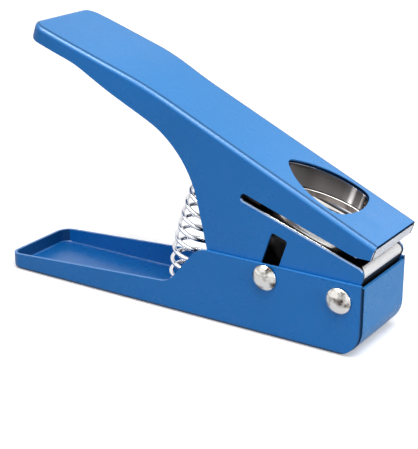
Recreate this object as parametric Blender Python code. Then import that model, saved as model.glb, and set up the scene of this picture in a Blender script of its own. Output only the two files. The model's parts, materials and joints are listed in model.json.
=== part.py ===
"""Hand punch that cuts guitar picks out of plastic card.

Two channels of pressed sheet steel make the tool. The lower one is the base tray.
The upper one is the handle, which hinges in the tray on the front rivet. The handle
carries the die set: a wedge-shaped holder, the die plate under it, and a guide block
below the card gap. The punch runs in the guide block and rides on the middle rivet,
which is fixed in the tray. When the handle is squeezed down, the guide, the card and
the die come down over the punch, and the punch cuts a pick. The spring behind them
lifts the handle again.

Lengths are in metres. World X runs along the tray towards the jaw, Y runs across it and
Z is up. The origin is the middle of the tray's flat underside.

The handle and all that it carries are drawn square, in the handle's own frame: its
origin is the hinge axis, S runs along the card gap towards the jaw, and N stands square
to the card gap. An empty on the hinge axis then tips that frame to the open position.
"""

import math

import bmesh
import bpy
from mathutils import Vector

# Sheet and fits
SHEET = 0.0011
FIT_GAP = 0.0003
OVERRUN = 0.012
FACET_DEG = 12.0
ROUND_STEPS = 32
SMALL_STEPS = 20

# Base tray, measured back from the front face of its flap
TRAY_LENGTH = 0.1542
TRAY_WIDTH = 0.0344
WALL_RISE = 0.0066
FLAP_DROP = 0.0010
WALL_SHOULDER_BACK = 0.0651
SWEEP_DEG = 51.0
SWEEP_RADIUS = 0.0084
RIM_HEIGHT = 0.0063
RIM_DEG = 3.6
TAIL_CORNER_RADIUS = 0.0050
FLOOR_BEND_RADIUS = 0.0018
NOSE_RADIUS = 0.0105
NOSE_STEP = 0.0006
SLIT_WIDTH = 0.0003
SLIT_RELIEF = 0.0016

# Rivets in the tray walls
PIVOT_BACK = 0.0085
PIVOT_HEIGHT = 0.0201
PIN_BACK = 0.0370
PIN_RISE = 0.0019
RIVET_SHANK = 0.0038
RIVET_HEAD = 0.0094
RIVET_HEAD_HEIGHT = 0.0025
RIVET_HEAD_EDGE = 0.0005
PIVOT_SLEEVE = 0.0060
PIN_SLEEVE = 0.0050

# Swing of the handle, measured from the position where the card gap lies level
OPEN_DEG = 18.5
CLOSED_DEG = 1.5

# Handle channel, in the handle's frame
GRIP_SPREAD = 0.0044
HANDLE_NOSE = 0.0046
HANDLE_TAIL = 0.1480
TOP_AT_PIVOT = 0.0239
TOP_DEG = 6.15
GRIP_RUN = 0.0440
GRIP_BREAK_EASE = 0.0090
TOP_BEND_RADIUS = 0.0025
FLARE_RUN = 0.0290
GRIP_FLAT = 0.0160
NIP_RUN = 0.0190
NIP_SPREAD = 0.0030
GRIP_CORNER_RADIUS = 0.0070
GRIP_TURNS_DEG = (18, 36, 50, 62, 72, 80, 86)
GRIP_DEPTH = 0.0061
GRIP_LEVEL_RUN = 0.0240
THROAT_DEPTH = 0.0098
THROAT_RUN = 0.0577
THROAT_RADIUS = 0.0360
GRIP_EASE_RADIUS = 0.0400
REAR_EDGE_BACK = 0.0592
REAR_EDGE_DEG = 32.0
CHEEK_FOOT = 0.0036
CHEEK_CORNER = 0.0040
FOOT_CORNER = 0.0030

# Card slot in the cheeks
SLOT_FLOOR = 0.0134
SLOT_HEIGHT = 0.0030
SLOT_BACK = 0.0467
SLOT_END_RADIUS = 0.00145
LEAD_IN = 0.0056
LEAD_IN_RISE = 0.0018
LEG_CORNER = 0.0030

# Slot for the middle rivet
PIN_SLOT_TOP = 0.0087
PIN_SLOT_CORNER = 0.0010

# Outline of the pick
PICK_LENGTH = 0.0306
PICK_MARGIN = 0.0034
PICK_NOSE_BACK = 0.0098
PICK_TIP_RADIUS = 0.0032
PICK_SIDE_RADIUS = 0.0280
PICK_SHOULDER_RADIUS = 0.0050
PICK_BACK_RADIUS = 0.0240

# Die set: holder, die plate and guide block
BLOCK_BACK = 0.0480
HOLDER_NOSE = 0.0047
HOLDER_FLOOR = 0.0182
DIE_NOSE = 0.0012
DIE_FLOOR = 0.0155
DIE_LEDGE = 0.0006
DIE_LEAD = 0.0020
GUIDE_NOSE = 0.0044
GUIDE_NOSE_RADIUS = 0.0030
GUIDE_THICKNESS = 0.0067
GUIDE_EDGE_RADIUS = 0.0016
SPACER_LENGTH = 0.0082
SPACER_WIDTH = 0.0060
DOWEL_DIAMETER = 0.0030
DOWEL_RISE = 0.0034

# Punch, its carrier and the screws that join them
PUNCH_RECESS = 0.0002
CARRIER_LENGTH = 0.0224
CARRIER_WIDTH = 0.0180
CARRIER_HEIGHT = 0.0092
CARRIER_EDGE = 0.0008
SCREW_OFFSET = 0.0072
SCREW_SHANK = 0.0027
SCREW_HEAD = 0.0048
SCREW_HEAD_HEIGHT = 0.0024
SCREW_GRIP = 0.0070
SCREW_SINK = 0.0030
SOCKET_WIDTH = 0.0022
SOCKET_DEPTH = 0.0012

# Return spring and the studs that locate its ends
SPRING_FOOT_BACK = 0.0797
SPRING_TOP_BACK = 0.0626
SPRING_DIAMETER = 0.0160
SPRING_WIRE = 0.0016
SPRING_COILS = 13.5
SPRING_END_COILS = 1.0
SPRING_END_PITCH = 0.0025
SPRING_POINTS = 9
STUD_DIAMETER = 0.0112
STUD_HEIGHT = 0.0040
STUD_CHAMFER = 0.0010

# Places that follow from the sizes
FRONT = TRAY_LENGTH / 2
TAIL = FRONT - TRAY_LENGTH
PIVOT = Vector((FRONT - PIVOT_BACK, 0.0, PIVOT_HEIGHT))
PIN = Vector((FRONT - PIN_BACK, 0.0, PIVOT_HEIGHT + PIN_RISE))
WALL_HEIGHT = PIVOT_HEIGHT + WALL_RISE
WALL_FACE = TRAY_WIDTH / 2
WALL_INNER = WALL_FACE - SHEET
HANDLE_WIDTH = 2 * (WALL_INNER - FIT_GAP)
GRIP_WIDTH = HANDLE_WIDTH + GRIP_SPREAD
NIP_WIDTH = HANDLE_WIDTH + NIP_SPREAD
PICK_WIDTH = HANDLE_WIDTH - 2 * PICK_MARGIN
CHEEK_DROP = PIVOT_HEIGHT - CHEEK_FOOT
GRIP_BREAK = HANDLE_TAIL - GRIP_RUN
NIP_START = HANDLE_TAIL - NIP_RUN
FLARE_END = NIP_START - GRIP_FLAT
FLARE_START = FLARE_END - FLARE_RUN
GRIP_LEVEL_BACK = HANDLE_TAIL - GRIP_LEVEL_RUN
THROAT_BACK = HANDLE_TAIL - THROAT_RUN
CHEEK_INNER = HANDLE_WIDTH / 2 - SHEET
BLOCK_SIDE = CHEEK_INNER - FIT_GAP
SLOT_ROOF = SLOT_FLOOR + SLOT_HEIGHT
PICK_TIP = -PICK_NOSE_BACK - PICK_LENGTH


def to_handle_frame(point, tilt_deg):
    """S and N of a world point while the card gap is tipped by tilt_deg."""
    tilt = math.radians(tilt_deg)
    across = point.x - PIVOT.x
    up = point.z - PIVOT.z
    along = across * math.cos(tilt) - up * math.sin(tilt)
    square = across * math.sin(tilt) + up * math.cos(tilt)
    return along, square


PIN_OPEN = to_handle_frame(PIN, OPEN_DEG)
PIN_CLOSED = to_handle_frame(PIN, CLOSED_DEG)
PIN_FAR = -math.hypot(PIN.x - PIVOT.x, PIN.z - PIVOT.z)
PIN_SLOT_MIDDLE = (PIN_OPEN[0] + PIN_FAR) / 2
PIN_SLOT_HALF = (PIN_OPEN[0] - PIN_FAR) / 2 + PIN_SLEEVE / 2 + FIT_GAP
PUNCH_STROKE = PIN_CLOSED[1] - PIN_OPEN[1]


# Outlines

def arc(centre, radius, start, end):
    """Points on an arc, with both ends, a facet every few degrees."""
    steps = max(2, math.ceil(abs(end - start) / math.radians(FACET_DEG)))
    points = []
    for step in range(steps + 1):
        angle = start + (end - start) * step / steps
        points.append((centre[0] + radius * math.cos(angle), centre[1] + radius * math.sin(angle)))
    return points


def rounded(corners):
    """Closed outline from (u, v, radius) corners, with an arc at each rounded one."""
    outline = []
    for index, (u, v, radius) in enumerate(corners):
        here = Vector((u, v))
        if radius == 0:
            outline.append((u, v))
            continue
        before = Vector(corners[index - 1][:2])
        after = Vector(corners[(index + 1) % len(corners)][:2])
        into = (here - before).normalized()
        out = (after - here).normalized()
        turn = math.atan2(into.x * out.y - into.y * out.x, into.dot(out))
        reach = radius * math.tan(abs(turn) / 2)
        side = math.copysign(1.0, turn)
        start = here - into * reach
        centre = start + Vector((-into.y, into.x)) * radius * side
        angle = math.atan2(start.y - centre.y, start.x - centre.x)
        outline.extend(arc(centre, radius, angle, angle + turn))
    return outline


def lines_meet(point_a, angle_a, point_b, angle_b):
    """Where two lines, each a point and an angle, cross."""
    ua, va = math.cos(angle_a), math.sin(angle_a)
    ub, vb = math.cos(angle_b), math.sin(angle_b)
    du, dv = point_b[0] - point_a[0], point_b[1] - point_a[1]
    reach = (du * vb - dv * ub) / (ua * vb - va * ub)
    return point_a[0] + ua * reach, point_a[1] + va * reach


def arc_holding(first, first_radius, second, second_radius, radius):
    """Centre of the large arc that two smaller circles touch from inside, on their right."""
    first, second = Vector(first), Vector(second)
    reach_a = radius - first_radius
    reach_b = radius - second_radius
    gap = (second - first).length
    along = (gap ** 2 + reach_a ** 2 - reach_b ** 2) / (2 * gap)
    aside = math.sqrt(reach_a ** 2 - along ** 2)
    line = (second - first) / gap
    return first + line * along + Vector((line.y, -line.x)) * aside


def pick_outline(inset):
    """Outline of the pick in S and Y, tip at the rear, drawn in by inset."""
    shoulder_y = PICK_WIDTH / 2 - PICK_SHOULDER_RADIUS
    back = Vector((-PICK_NOSE_BACK - PICK_BACK_RADIUS, 0.0))
    shoulder_reach = math.sqrt((PICK_BACK_RADIUS - PICK_SHOULDER_RADIUS) ** 2 - shoulder_y ** 2)
    shoulder = Vector((back.x + shoulder_reach, shoulder_y))
    tip = Vector((PICK_TIP + PICK_TIP_RADIUS, 0.0))
    side = arc_holding(tip, PICK_TIP_RADIUS, shoulder, PICK_SHOULDER_RADIUS, PICK_SIDE_RADIUS)
    tip_turn = math.atan2(tip.y - side.y, tip.x - side.x)
    side_turn = math.atan2(shoulder.y - side.y, shoulder.x - side.x)
    back_turn = math.atan2(shoulder.y, shoulder.x - back.x)
    half = arc(tip, PICK_TIP_RADIUS - inset, math.pi, tip_turn)
    half += arc(side, PICK_SIDE_RADIUS - inset, tip_turn, side_turn)[1:]
    half += arc(shoulder, PICK_SHOULDER_RADIUS - inset, side_turn, back_turn)[1:]
    half += arc(back, PICK_BACK_RADIUS - inset, back_turn, 0.0)[1:]
    mirrored = [(s, -y) for s, y in reversed(half[1:-1])]
    return half + mirrored


# Solids

def solid(name, mesh_maker):
    """Object whose bmesh is filled by mesh_maker, with its faces turned outwards."""
    shape = bmesh.new()
    mesh_maker(shape)
    bmesh.ops.recalc_face_normals(shape, faces=shape.faces)
    mesh = bpy.data.meshes.new(name)
    shape.to_mesh(mesh)
    shape.free()
    piece = bpy.data.objects.new(name, mesh)
    bpy.context.scene.collection.objects.link(piece)
    return piece


def loft(name, rings):
    """Solid through rings of equally many points, closed at both ends."""
    def make(shape):
        loops = [[shape.verts.new(point) for point in ring] for ring in rings]
        count = len(rings[0])
        for lower, upper in zip(loops, loops[1:]):
            for index in range(count):
                after = (index + 1) % count
                shape.faces.new((lower[index], lower[after], upper[after], upper[index]))
        shape.faces.new(loops[0])
        shape.faces.new(loops[-1])
    return solid(name, make)


def across(name, outline, low, high):
    """Prism of an outline in X and Z, drawn along Y from low to high."""
    return loft(name, [[(u, y, v) for u, v in outline] for y in (low, high)])


def upright(name, outline, low, high):
    """Prism of an outline in X and Y, drawn along Z from low to high."""
    return loft(name, [[(u, v, z) for u, v in outline] for z in (low, high)])


def turned(name, profile, axis, centre, steps):
    """Solid turned about an axis through centre, from (radius, height) points.

    A profile that starts and ends on the axis gives a solid piece, a closed one a tube.
    """
    axis = Vector(axis)
    radial = axis.orthogonal().normalized()
    centre = Vector(centre)

    def make(shape):
        points = [shape.verts.new(centre + radial * r + axis * h) for r, h in profile]
        edges = [shape.edges.new(pair) for pair in zip(points, points[1:])]
        if profile[0][0] > 0:
            edges.append(shape.edges.new((points[-1], points[0])))
        bmesh.ops.spin(shape, geom=points + edges, cent=centre, axis=axis,
                       angle=math.tau, steps=steps, use_duplicate=False)
        bmesh.ops.remove_doubles(shape, verts=shape.verts, dist=FIT_GAP / 30)
    return solid(name, make)


def bar(name, diameter, axis, centre, low, high, steps):
    """Plain round bar along an axis, from low to high of centre."""
    radius = diameter / 2
    return turned(name, [(0, low), (radius, low), (radius, high), (0, high)], axis, centre, steps)


def combine(piece, operation, tools):
    """Boolean each tool into the piece in turn, and bake the result."""
    for tool in tools:
        modifier = piece.modifiers.new("shape", "BOOLEAN")
        modifier.operation = operation
        modifier.solver = "EXACT"
        modifier.object = tool
        graph = bpy.context.evaluated_depsgraph_get()
        shaped = bpy.data.meshes.new_from_object(piece.evaluated_get(graph))
        piece.modifiers.clear()
        old = piece.data
        piece.data = shaped
        bpy.data.meshes.remove(old)
        bpy.data.objects.remove(tool)
    return piece


def cut(piece, *tools):
    """Take the tools away from the piece."""
    return combine(piece, "DIFFERENCE", tools)


def trim(piece, *tools):
    """Keep what lies inside every tool."""
    return combine(piece, "INTERSECT", tools)


def finish(piece, node, material, smooth_deg=30.0):
    """Name a finished piece, give it its material and shade its round faces smooth."""
    piece.name = node
    piece.data.name = node
    piece.data.materials.clear()
    piece.data.materials.append(material)
    piece.data.shade_smooth()
    piece.data.set_sharp_from_angle(angle=math.radians(smooth_deg))
    return piece


def surface(name, colour, metallic, roughness):
    """Principled material with one colour."""
    material = bpy.data.materials.new(name)
    material.use_nodes = True
    shader = material.node_tree.nodes["Principled BSDF"]
    shader.inputs["Base Color"].default_value = (*colour, 1.0)
    shader.inputs["Metallic"].default_value = metallic
    shader.inputs["Roughness"].default_value = roughness
    material.diffuse_color = (*colour, 1.0)
    return material


# Base tray

def tub_ring(inset, height, nose):
    """Outline of the tray in plan, with its tail corners round, at one height."""
    side = WALL_FACE - inset
    end = TAIL + inset
    radius = TAIL_CORNER_RADIUS - min(inset, SHEET)
    outline = rounded([(nose, -side, 0), (nose, side, 0), (end, side, radius), (end, -side, radius)])
    return [(x, y, height) for x, y in outline]


def tub(name, inset, floor, bend, nose, top):
    """Block with the tray's plan and its rounded floor edge, drawn in by inset."""
    rings = []
    for u, v in arc((0.0, bend), bend, -math.pi / 2, 0.0):
        rings.append(tub_ring(inset + bend - u, floor + v, nose))
    rings.append(tub_ring(inset, top, nose))
    return loft(name, rings)


def nose_block(name, inset, top):
    """Block as wide as the bench, with the rolled nose of the tray, drawn in by inset."""
    radius = NOSE_RADIUS - inset
    face = FRONT - inset
    roll = arc((face - radius, inset + radius), radius, -math.pi / 2, 0.0)
    outline = [(TAIL - OVERRUN, inset - OVERRUN), (face - radius, inset - OVERRUN)]
    outline += roll
    outline += [(face, top), (TAIL - OVERRUN, top)]
    side = WALL_FACE + OVERRUN
    return across(name, outline, -side, side)


def wall_top_outline():
    """All that lies above the tray's edge: low rim, swept step and high wall."""
    high = WALL_HEIGHT + OVERRUN
    shoulder = (FRONT - WALL_SHOULDER_BACK, WALL_HEIGHT)
    rim_angle = math.radians(RIM_DEG)
    sweep = math.radians(SWEEP_DEG)
    foot = lines_meet((TAIL, RIM_HEIGHT), rim_angle, shoulder, sweep)
    rim_end = RIM_HEIGHT - OVERRUN * math.tan(rim_angle)
    return rounded([
        (TAIL - OVERRUN, rim_end, 0),
        (*foot, SWEEP_RADIUS),
        (*shoulder, SWEEP_RADIUS),
        (FRONT + OVERRUN, WALL_HEIGHT, 0),
        (FRONT + OVERRUN, high, 0),
        (TAIL - OVERRUN, high, 0),
    ])


def base_tray(material):
    """Pressed tray: floor, tail, side walls and the flap rolled up at the nose."""
    top = WALL_HEIGHT + OVERRUN
    tray = tub("tray", 0.0, 0.0, FLOOR_BEND_RADIUS, FRONT + OVERRUN, top)
    trim(tray, nose_block("nose", 0.0, top + OVERRUN))
    hollow = tub("hollow", SHEET, SHEET, FLOOR_BEND_RADIUS - SHEET, FRONT + OVERRUN, top + OVERRUN)
    trim(hollow, nose_block("hollow_nose", SHEET, top + OVERRUN * 2))
    cut(tray, hollow)
    side = WALL_FACE + OVERRUN
    cut(tray, across("above", wall_top_outline(), -side, side))

    # The flap stands between the walls, a little lower, and they stop a step behind its face
    flap_side = WALL_INNER - SLIT_WIDTH
    slit_back = FRONT - NOSE_RADIUS - SLIT_RELIEF
    slit = [(slit_back, -OVERRUN), (FRONT + OVERRUN, -OVERRUN), (FRONT + OVERRUN, top), (slit_back, top)]
    face = FRONT - NOSE_STEP
    radius = NOSE_RADIUS - NOSE_STEP
    roll = arc((face - radius, radius), radius, -math.pi / 2, 0.0)
    beyond = [(face - radius, -OVERRUN)] + roll
    beyond += [(face, top), (FRONT + OVERRUN, top), (FRONT + OVERRUN, -OVERRUN)]
    for hand in (-1, 1):
        cut(tray, across("slit", slit, *sorted((hand * flap_side, hand * WALL_INNER))))
        start = hand * (flap_side + SLIT_WIDTH / 2)
        cut(tray, across("beyond", beyond, *sorted((start, hand * side))))
    low = WALL_HEIGHT - FLAP_DROP
    edge = [(slit_back, low), (FRONT + OVERRUN, low), (FRONT + OVERRUN, top), (slit_back, top)]
    start = flap_side + SLIT_WIDTH / 2
    cut(tray, across("flap_edge", edge, -start, start))
    for centre in (PIVOT, PIN):
        cut(tray, bar("bore", RIVET_SHANK + 2 * FIT_GAP, (0, 1, 0), centre, -side, side, SMALL_STEPS))
    return finish(tray, "base_tray", material)


def rivet(node, centre, material):
    """Rivet through both tray walls, with a domed head on each side."""
    face = WALL_FACE + FIT_GAP
    radius = RIVET_HEAD / 2
    dome = RIVET_HEAD_HEIGHT - RIVET_HEAD_EDGE
    ball = (radius ** 2 + dome ** 2) / (2 * dome)
    middle = face + RIVET_HEAD_HEIGHT - ball
    half = [(0.0, face + RIVET_HEAD_HEIGHT)]
    rise = math.asin(radius / ball)
    steps = math.ceil(math.degrees(rise) / FACET_DEG)
    for step in range(1, steps + 1):
        angle = rise * step / steps
        half.append((ball * math.sin(angle), middle + ball * math.cos(angle)))
    half += [(radius, face), (RIVET_SHANK / 2, face)]
    profile = half + [(r, -h) for r, h in reversed(half)]
    return finish(turned(node, profile, (0, 1, 0), centre, ROUND_STEPS), node, material)


def sleeve(node, centre, diameter, material):
    """Spacer tube on a rivet, which keeps the tray walls apart."""
    half = WALL_INNER - FIT_GAP
    bore = RIVET_SHANK / 2 + FIT_GAP
    outer = diameter / 2
    profile = [(outer, -half), (outer, half), (bore, half), (bore, -half)]
    return finish(turned(node, profile, (0, 1, 0), centre, ROUND_STEPS), node, material)


# Handle channel

def top_height(s):
    """N of the handle's top face: a straight rise from the jaw, then the level grip."""
    slope = math.tan(math.radians(TOP_DEG))
    start = -GRIP_BREAK + GRIP_BREAK_EASE
    if s >= start:
        return TOP_AT_PIVOT - slope * s
    eased = min(start - s, 2 * GRIP_BREAK_EASE)
    return TOP_AT_PIVOT - slope * start + slope * (eased - eased ** 2 / (4 * GRIP_BREAK_EASE))


def half_width(s):
    """Half the handle's width in plan: narrow in the tray, wider at the grip."""
    stations = [(-HANDLE_NOSE, HANDLE_WIDTH), (FLARE_START, HANDLE_WIDTH), (FLARE_END, GRIP_WIDTH),
                (NIP_START, GRIP_WIDTH), (HANDLE_TAIL, NIP_WIDTH)]
    back = -s
    for (start, first), (end, second) in zip(stations, stations[1:]):
        if back <= end:
            part = max(0.0, (back - start) / (end - start))
            ease = part * part * (3 - 2 * part) if second > first else part * part
            return (first + (second - first) * ease) / 2
    return stations[-1][1] / 2


def handle_stations():
    """Places along the handle where its section changes."""
    marks = [HANDLE_NOSE + OVERRUN, -FLARE_START]
    for start, end, count in ((FLARE_START, FLARE_END, 7), (FLARE_END, NIP_START, 2),
                              (NIP_START, HANDLE_TAIL - GRIP_CORNER_RADIUS, 3)):
        for step in range(1, count + 1):
            marks.append(-start - (end - start) * step / count)
    return marks


def handle_block(name, inset):
    """Solid of the handle's outside, drawn in by inset on the top, sides and tail."""
    bend = TOP_BEND_RADIUS - inset
    corner = GRIP_CORNER_RADIUS - inset
    end = -HANDLE_TAIL + inset
    floor = -CHEEK_DROP - OVERRUN * 2
    sections = [(s, half_width(s) - inset, top_height(s) - inset) for s in handle_stations()]
    edge_side = half_width(-HANDLE_TAIL + GRIP_CORNER_RADIUS) - inset
    turns = [math.radians(angle) for angle in GRIP_TURNS_DEG]
    for turn in turns:
        s = end + corner - corner * math.sin(turn)
        side = edge_side - corner + corner * math.cos(turn)
        depth = max(0.0, bend - (s - end))
        drop = bend - math.sqrt(max(0.0, bend ** 2 - depth ** 2))
        sections.append((s, side, top_height(s) - inset - drop))
    sections.append((end, edge_side - corner, top_height(end) - inset - bend))
    rings = []
    for s, side, top in sections:
        right = arc((side - bend, top - bend), bend, 0.0, math.pi / 2)
        ring = [(side, floor)] + right + [(-y, n) for y, n in reversed(right)] + [(-side, floor)]
        rings.append([(s, y, n) for y, n in ring])
    return loft(name, rings)


def foot_place():
    """Rear lower corner of a cheek, which comes down on the tray floor as the stop."""
    lean = math.radians(REAR_EDGE_DEG)
    tilt = math.radians(CLOSED_DEG)
    stop = SHEET + FIT_GAP - PIVOT_HEIGHT
    floor_line = ((0.0, stop / math.cos(tilt)), tilt)
    return lines_meet(*floor_line, (-REAR_EDGE_BACK, 0.0), math.pi / 2 + lean)


def side_outline():
    """Side view of the handle: jaw, cheek, throat and grip, open above its top face."""
    high = top_height(-HANDLE_TAIL) + OVERRUN
    throat = (-THROAT_BACK, top_height(-THROAT_BACK) - THROAT_DEPTH)
    grip = (-GRIP_LEVEL_BACK, top_height(-GRIP_LEVEL_BACK) - GRIP_DEPTH)
    under = math.atan2(throat[1] - grip[1], throat[0] - grip[0])
    lean = math.pi / 2 + math.radians(REAR_EDGE_DEG)
    corner = lines_meet(throat, under, (-REAR_EDGE_BACK, 0.0), lean)
    return rounded([
        (HANDLE_NOSE, high, 0),
        (HANDLE_NOSE, -CHEEK_DROP, CHEEK_CORNER),
        (*foot_place(), FOOT_CORNER),
        (*corner, THROAT_RADIUS),
        (*grip, GRIP_EASE_RADIUS),
        (-HANDLE_TAIL - OVERRUN, grip[1], 0),
        (-HANDLE_TAIL - OVERRUN, high, 0),
    ])


def card_slot_outline():
    """Card slot in the cheeks: round at the rear, flared and open at the jaw."""
    nose = HANDLE_NOSE + OVERRUN
    lead = HANDLE_NOSE - LEAD_IN
    rise = LEAD_IN_RISE / LEAD_IN
    leg = (HANDLE_NOSE - LEG_CORNER, SLOT_FLOOR - LEG_CORNER)
    outline = rounded([
        (nose, SLOT_ROOF + rise * (nose - lead), 0),
        (lead, SLOT_ROOF, 0),
        (-SLOT_BACK, SLOT_ROOF, SLOT_END_RADIUS),
        (-SLOT_BACK, SLOT_FLOOR, SLOT_END_RADIUS),
        (leg[0], SLOT_FLOOR, 0),
    ])
    return outline + arc(leg, LEG_CORNER, math.pi / 2, 0.0)[1:] + [(nose, leg[1])]


def pin_slot_outline():
    """Slot that rides over the middle rivet and stops the handle when it opens."""
    low = PIN_OPEN[1] - PIN_SLEEVE / 2 - FIT_GAP
    left = PIN_SLOT_MIDDLE - PIN_SLOT_HALF
    right = PIN_SLOT_MIDDLE + PIN_SLOT_HALF
    foot = PIN_SLEEVE / 2
    return rounded([(right, low, foot), (right, PIN_SLOT_TOP, PIN_SLOT_CORNER),
                    (left, PIN_SLOT_TOP, PIN_SLOT_CORNER), (left, low, foot)])


def handle_frame(material):
    """Pressed handle channel, open below and at the jaw, with its slots and window."""
    handle = handle_block("handle", 0.0)
    cut(handle, lengthen_front(handle_block("handle_hollow", SHEET)))
    side = GRIP_WIDTH / 2 + OVERRUN
    trim(handle, across("side_view", side_outline(), -side, side))
    cut(handle, across("card_slot", card_slot_outline(), -side, side))
    cut(handle, across("pin_slot", pin_slot_outline(), -side, side))
    cut(handle, bar("pivot_hole", PIVOT_SLEEVE + 2 * FIT_GAP, (0, 1, 0), (0, 0, 0), -side, side, ROUND_STEPS))
    cut(handle, upright("window", pick_outline(0.0), SLOT_FLOOR, top_height(PICK_TIP) + OVERRUN))
    return finish(handle, "handle_frame", material)


def lengthen_front(block):
    """Run a hollow on past the jaw end and below the block it is cut from."""
    for vertex in block.data.vertices:
        if vertex.co.x > HANDLE_NOSE:
            vertex.co.x += OVERRUN
        if vertex.co.z < -CHEEK_DROP - OVERRUN:
            vertex.co.z -= OVERRUN
    return block


# Die set

DOWEL_TOP = HOLDER_FLOOR + DOWEL_RISE
SPACER_SIDE = BLOCK_SIDE - GUIDE_EDGE_RADIUS
DOWEL_PLACES = tuple((-BLOCK_BACK + SPACER_LENGTH / 2, hand * (SPACER_SIDE - SPACER_WIDTH / 2))
                     for hand in (-1, 1))


def die_holder(material):
    """Wedge that fills the space between the handle's sloping top and the die plate."""
    block = handle_block("holder", SHEET + FIT_GAP)
    high = top_height(-BLOCK_BACK) + OVERRUN
    outline = [(HOLDER_NOSE, HOLDER_FLOOR), (HOLDER_NOSE, high),
               (-BLOCK_BACK, high), (-BLOCK_BACK, HOLDER_FLOOR)]
    side = HANDLE_WIDTH / 2 + OVERRUN
    trim(block, across("holder_side", outline, -side, side))
    cut(block, upright("holder_hole", pick_outline(0.0), SLOT_FLOOR, high))
    for s, y in DOWEL_PLACES:
        cut(block, dowel_hole(s, y, SLOT_FLOOR, DOWEL_TOP + FIT_GAP))
    return finish(block, "die_holder", material)


def die_plate(material):
    """Plate over the card gap, whose hole is the cutting edge, with a lead-in at the jaw."""
    top = HOLDER_FLOOR - FIT_GAP
    outline = [(-BLOCK_BACK, DIE_FLOOR), (DIE_NOSE - DIE_LEAD, DIE_FLOOR), (DIE_NOSE, top - SHEET),
               (DIE_NOSE, top), (-BLOCK_BACK, top)]
    plate = across("plate", outline, -BLOCK_SIDE, BLOCK_SIDE)
    cut(plate, upright("plate_hole", pick_outline(DIE_LEDGE), SLOT_FLOOR, HOLDER_FLOOR + OVERRUN))
    for s, y in DOWEL_PLACES:
        cut(plate, dowel_hole(s, y, SLOT_FLOOR, HOLDER_FLOOR + OVERRUN))
    return finish(plate, "die_plate", material)


def guide_block(material):
    """Lower block, whose top carries the card and whose hole guides the punch."""
    low = SLOT_FLOOR - GUIDE_THICKNESS
    section = rounded([(-BLOCK_SIDE, low, 0), (BLOCK_SIDE, low, 0),
                       (BLOCK_SIDE, SLOT_FLOOR, GUIDE_EDGE_RADIUS),
                       (-BLOCK_SIDE, SLOT_FLOOR, GUIDE_EDGE_RADIUS)])
    block = loft("guide", [[(s, y, n) for y, n in section] for s in (-BLOCK_BACK, GUIDE_NOSE)])
    centre = (GUIDE_NOSE - GUIDE_NOSE_RADIUS, SLOT_FLOOR - GUIDE_NOSE_RADIUS)
    beyond = GUIDE_NOSE + OVERRUN
    above = SLOT_FLOOR + OVERRUN
    corner = arc(centre, GUIDE_NOSE_RADIUS, 0.0, math.pi / 2)
    corner += [(centre[0], above), (beyond, above), (beyond, centre[1])]
    side = BLOCK_SIDE + OVERRUN
    cut(block, across("guide_nose", corner, -side, side))
    cut(block, upright("guide_hole", pick_outline(DIE_LEDGE), low - OVERRUN, SLOT_FLOOR + OVERRUN))
    for s, y in DOWEL_PLACES:
        cut(block, dowel_hole(s, y, low - OVERRUN, SLOT_FLOOR + OVERRUN))
    return finish(block, "guide_block", material)


def gap_spacer(node, hand, material):
    """Slip of steel that holds the card gap open, at one rear corner of the blocks."""
    outer = hand * SPACER_SIDE
    inner = hand * (SPACER_SIDE - SPACER_WIDTH)
    start = -BLOCK_BACK
    corners = [(start, inner, 0), (start + SPACER_LENGTH, inner, 0), (start + SPACER_LENGTH, outer, 0),
               (start, outer, 0)]
    piece = upright(node, rounded(corners), SLOT_FLOOR + FIT_GAP, DIE_FLOOR - FIT_GAP)
    s, y = DOWEL_PLACES[0] if hand < 0 else DOWEL_PLACES[1]
    cut(piece, dowel_hole(s, y, SLOT_FLOOR - OVERRUN, SLOT_ROOF + OVERRUN))
    return finish(piece, node, material)


def dowel_hole(s, y, low, high):
    """Cutter for the hole that a dowel sits in."""
    return bar("dowel_hole", DOWEL_DIAMETER + 2 * FIT_GAP, (0, 0, 1), (s, y, 0), low, high, SMALL_STEPS)


def dowel(node, place, material):
    """Dowel that holds guide block, spacer and die block in line."""
    s, y = place
    low = SLOT_FLOOR - GUIDE_THICKNESS
    piece = bar(node, DOWEL_DIAMETER, (0, 0, 1), (s, y, 0), low, DOWEL_TOP, SMALL_STEPS)
    return finish(piece, node, material)


# Punch

CARRIER_LOW = PIN_OPEN[1] - CARRIER_HEIGHT / 2
CARRIER_TOP = PIN_OPEN[1] + CARRIER_HEIGHT / 2
PUNCH_TOP = SLOT_FLOOR - PUNCH_RECESS
PUNCH_LOW = CARRIER_TOP + FIT_GAP
SCREW_PLACES = (PIN_SLOT_MIDDLE + SCREW_OFFSET, PIN_SLOT_MIDDLE - SCREW_OFFSET)


def punch_head(material):
    """Pick-shaped punch, which fills the guide hole and enters the die."""
    head = upright("punch", pick_outline(DIE_LEDGE + FIT_GAP), PUNCH_LOW, PUNCH_TOP)
    for s in SCREW_PLACES:
        reach = PUNCH_LOW + SCREW_GRIP + FIT_GAP
        bore = SCREW_SHANK + 2 * FIT_GAP
        cut(head, bar("thread", bore, (0, 0, 1), (s, 0, 0), -OVERRUN, reach, SMALL_STEPS))
    return finish(head, "punch_head", material)


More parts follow.
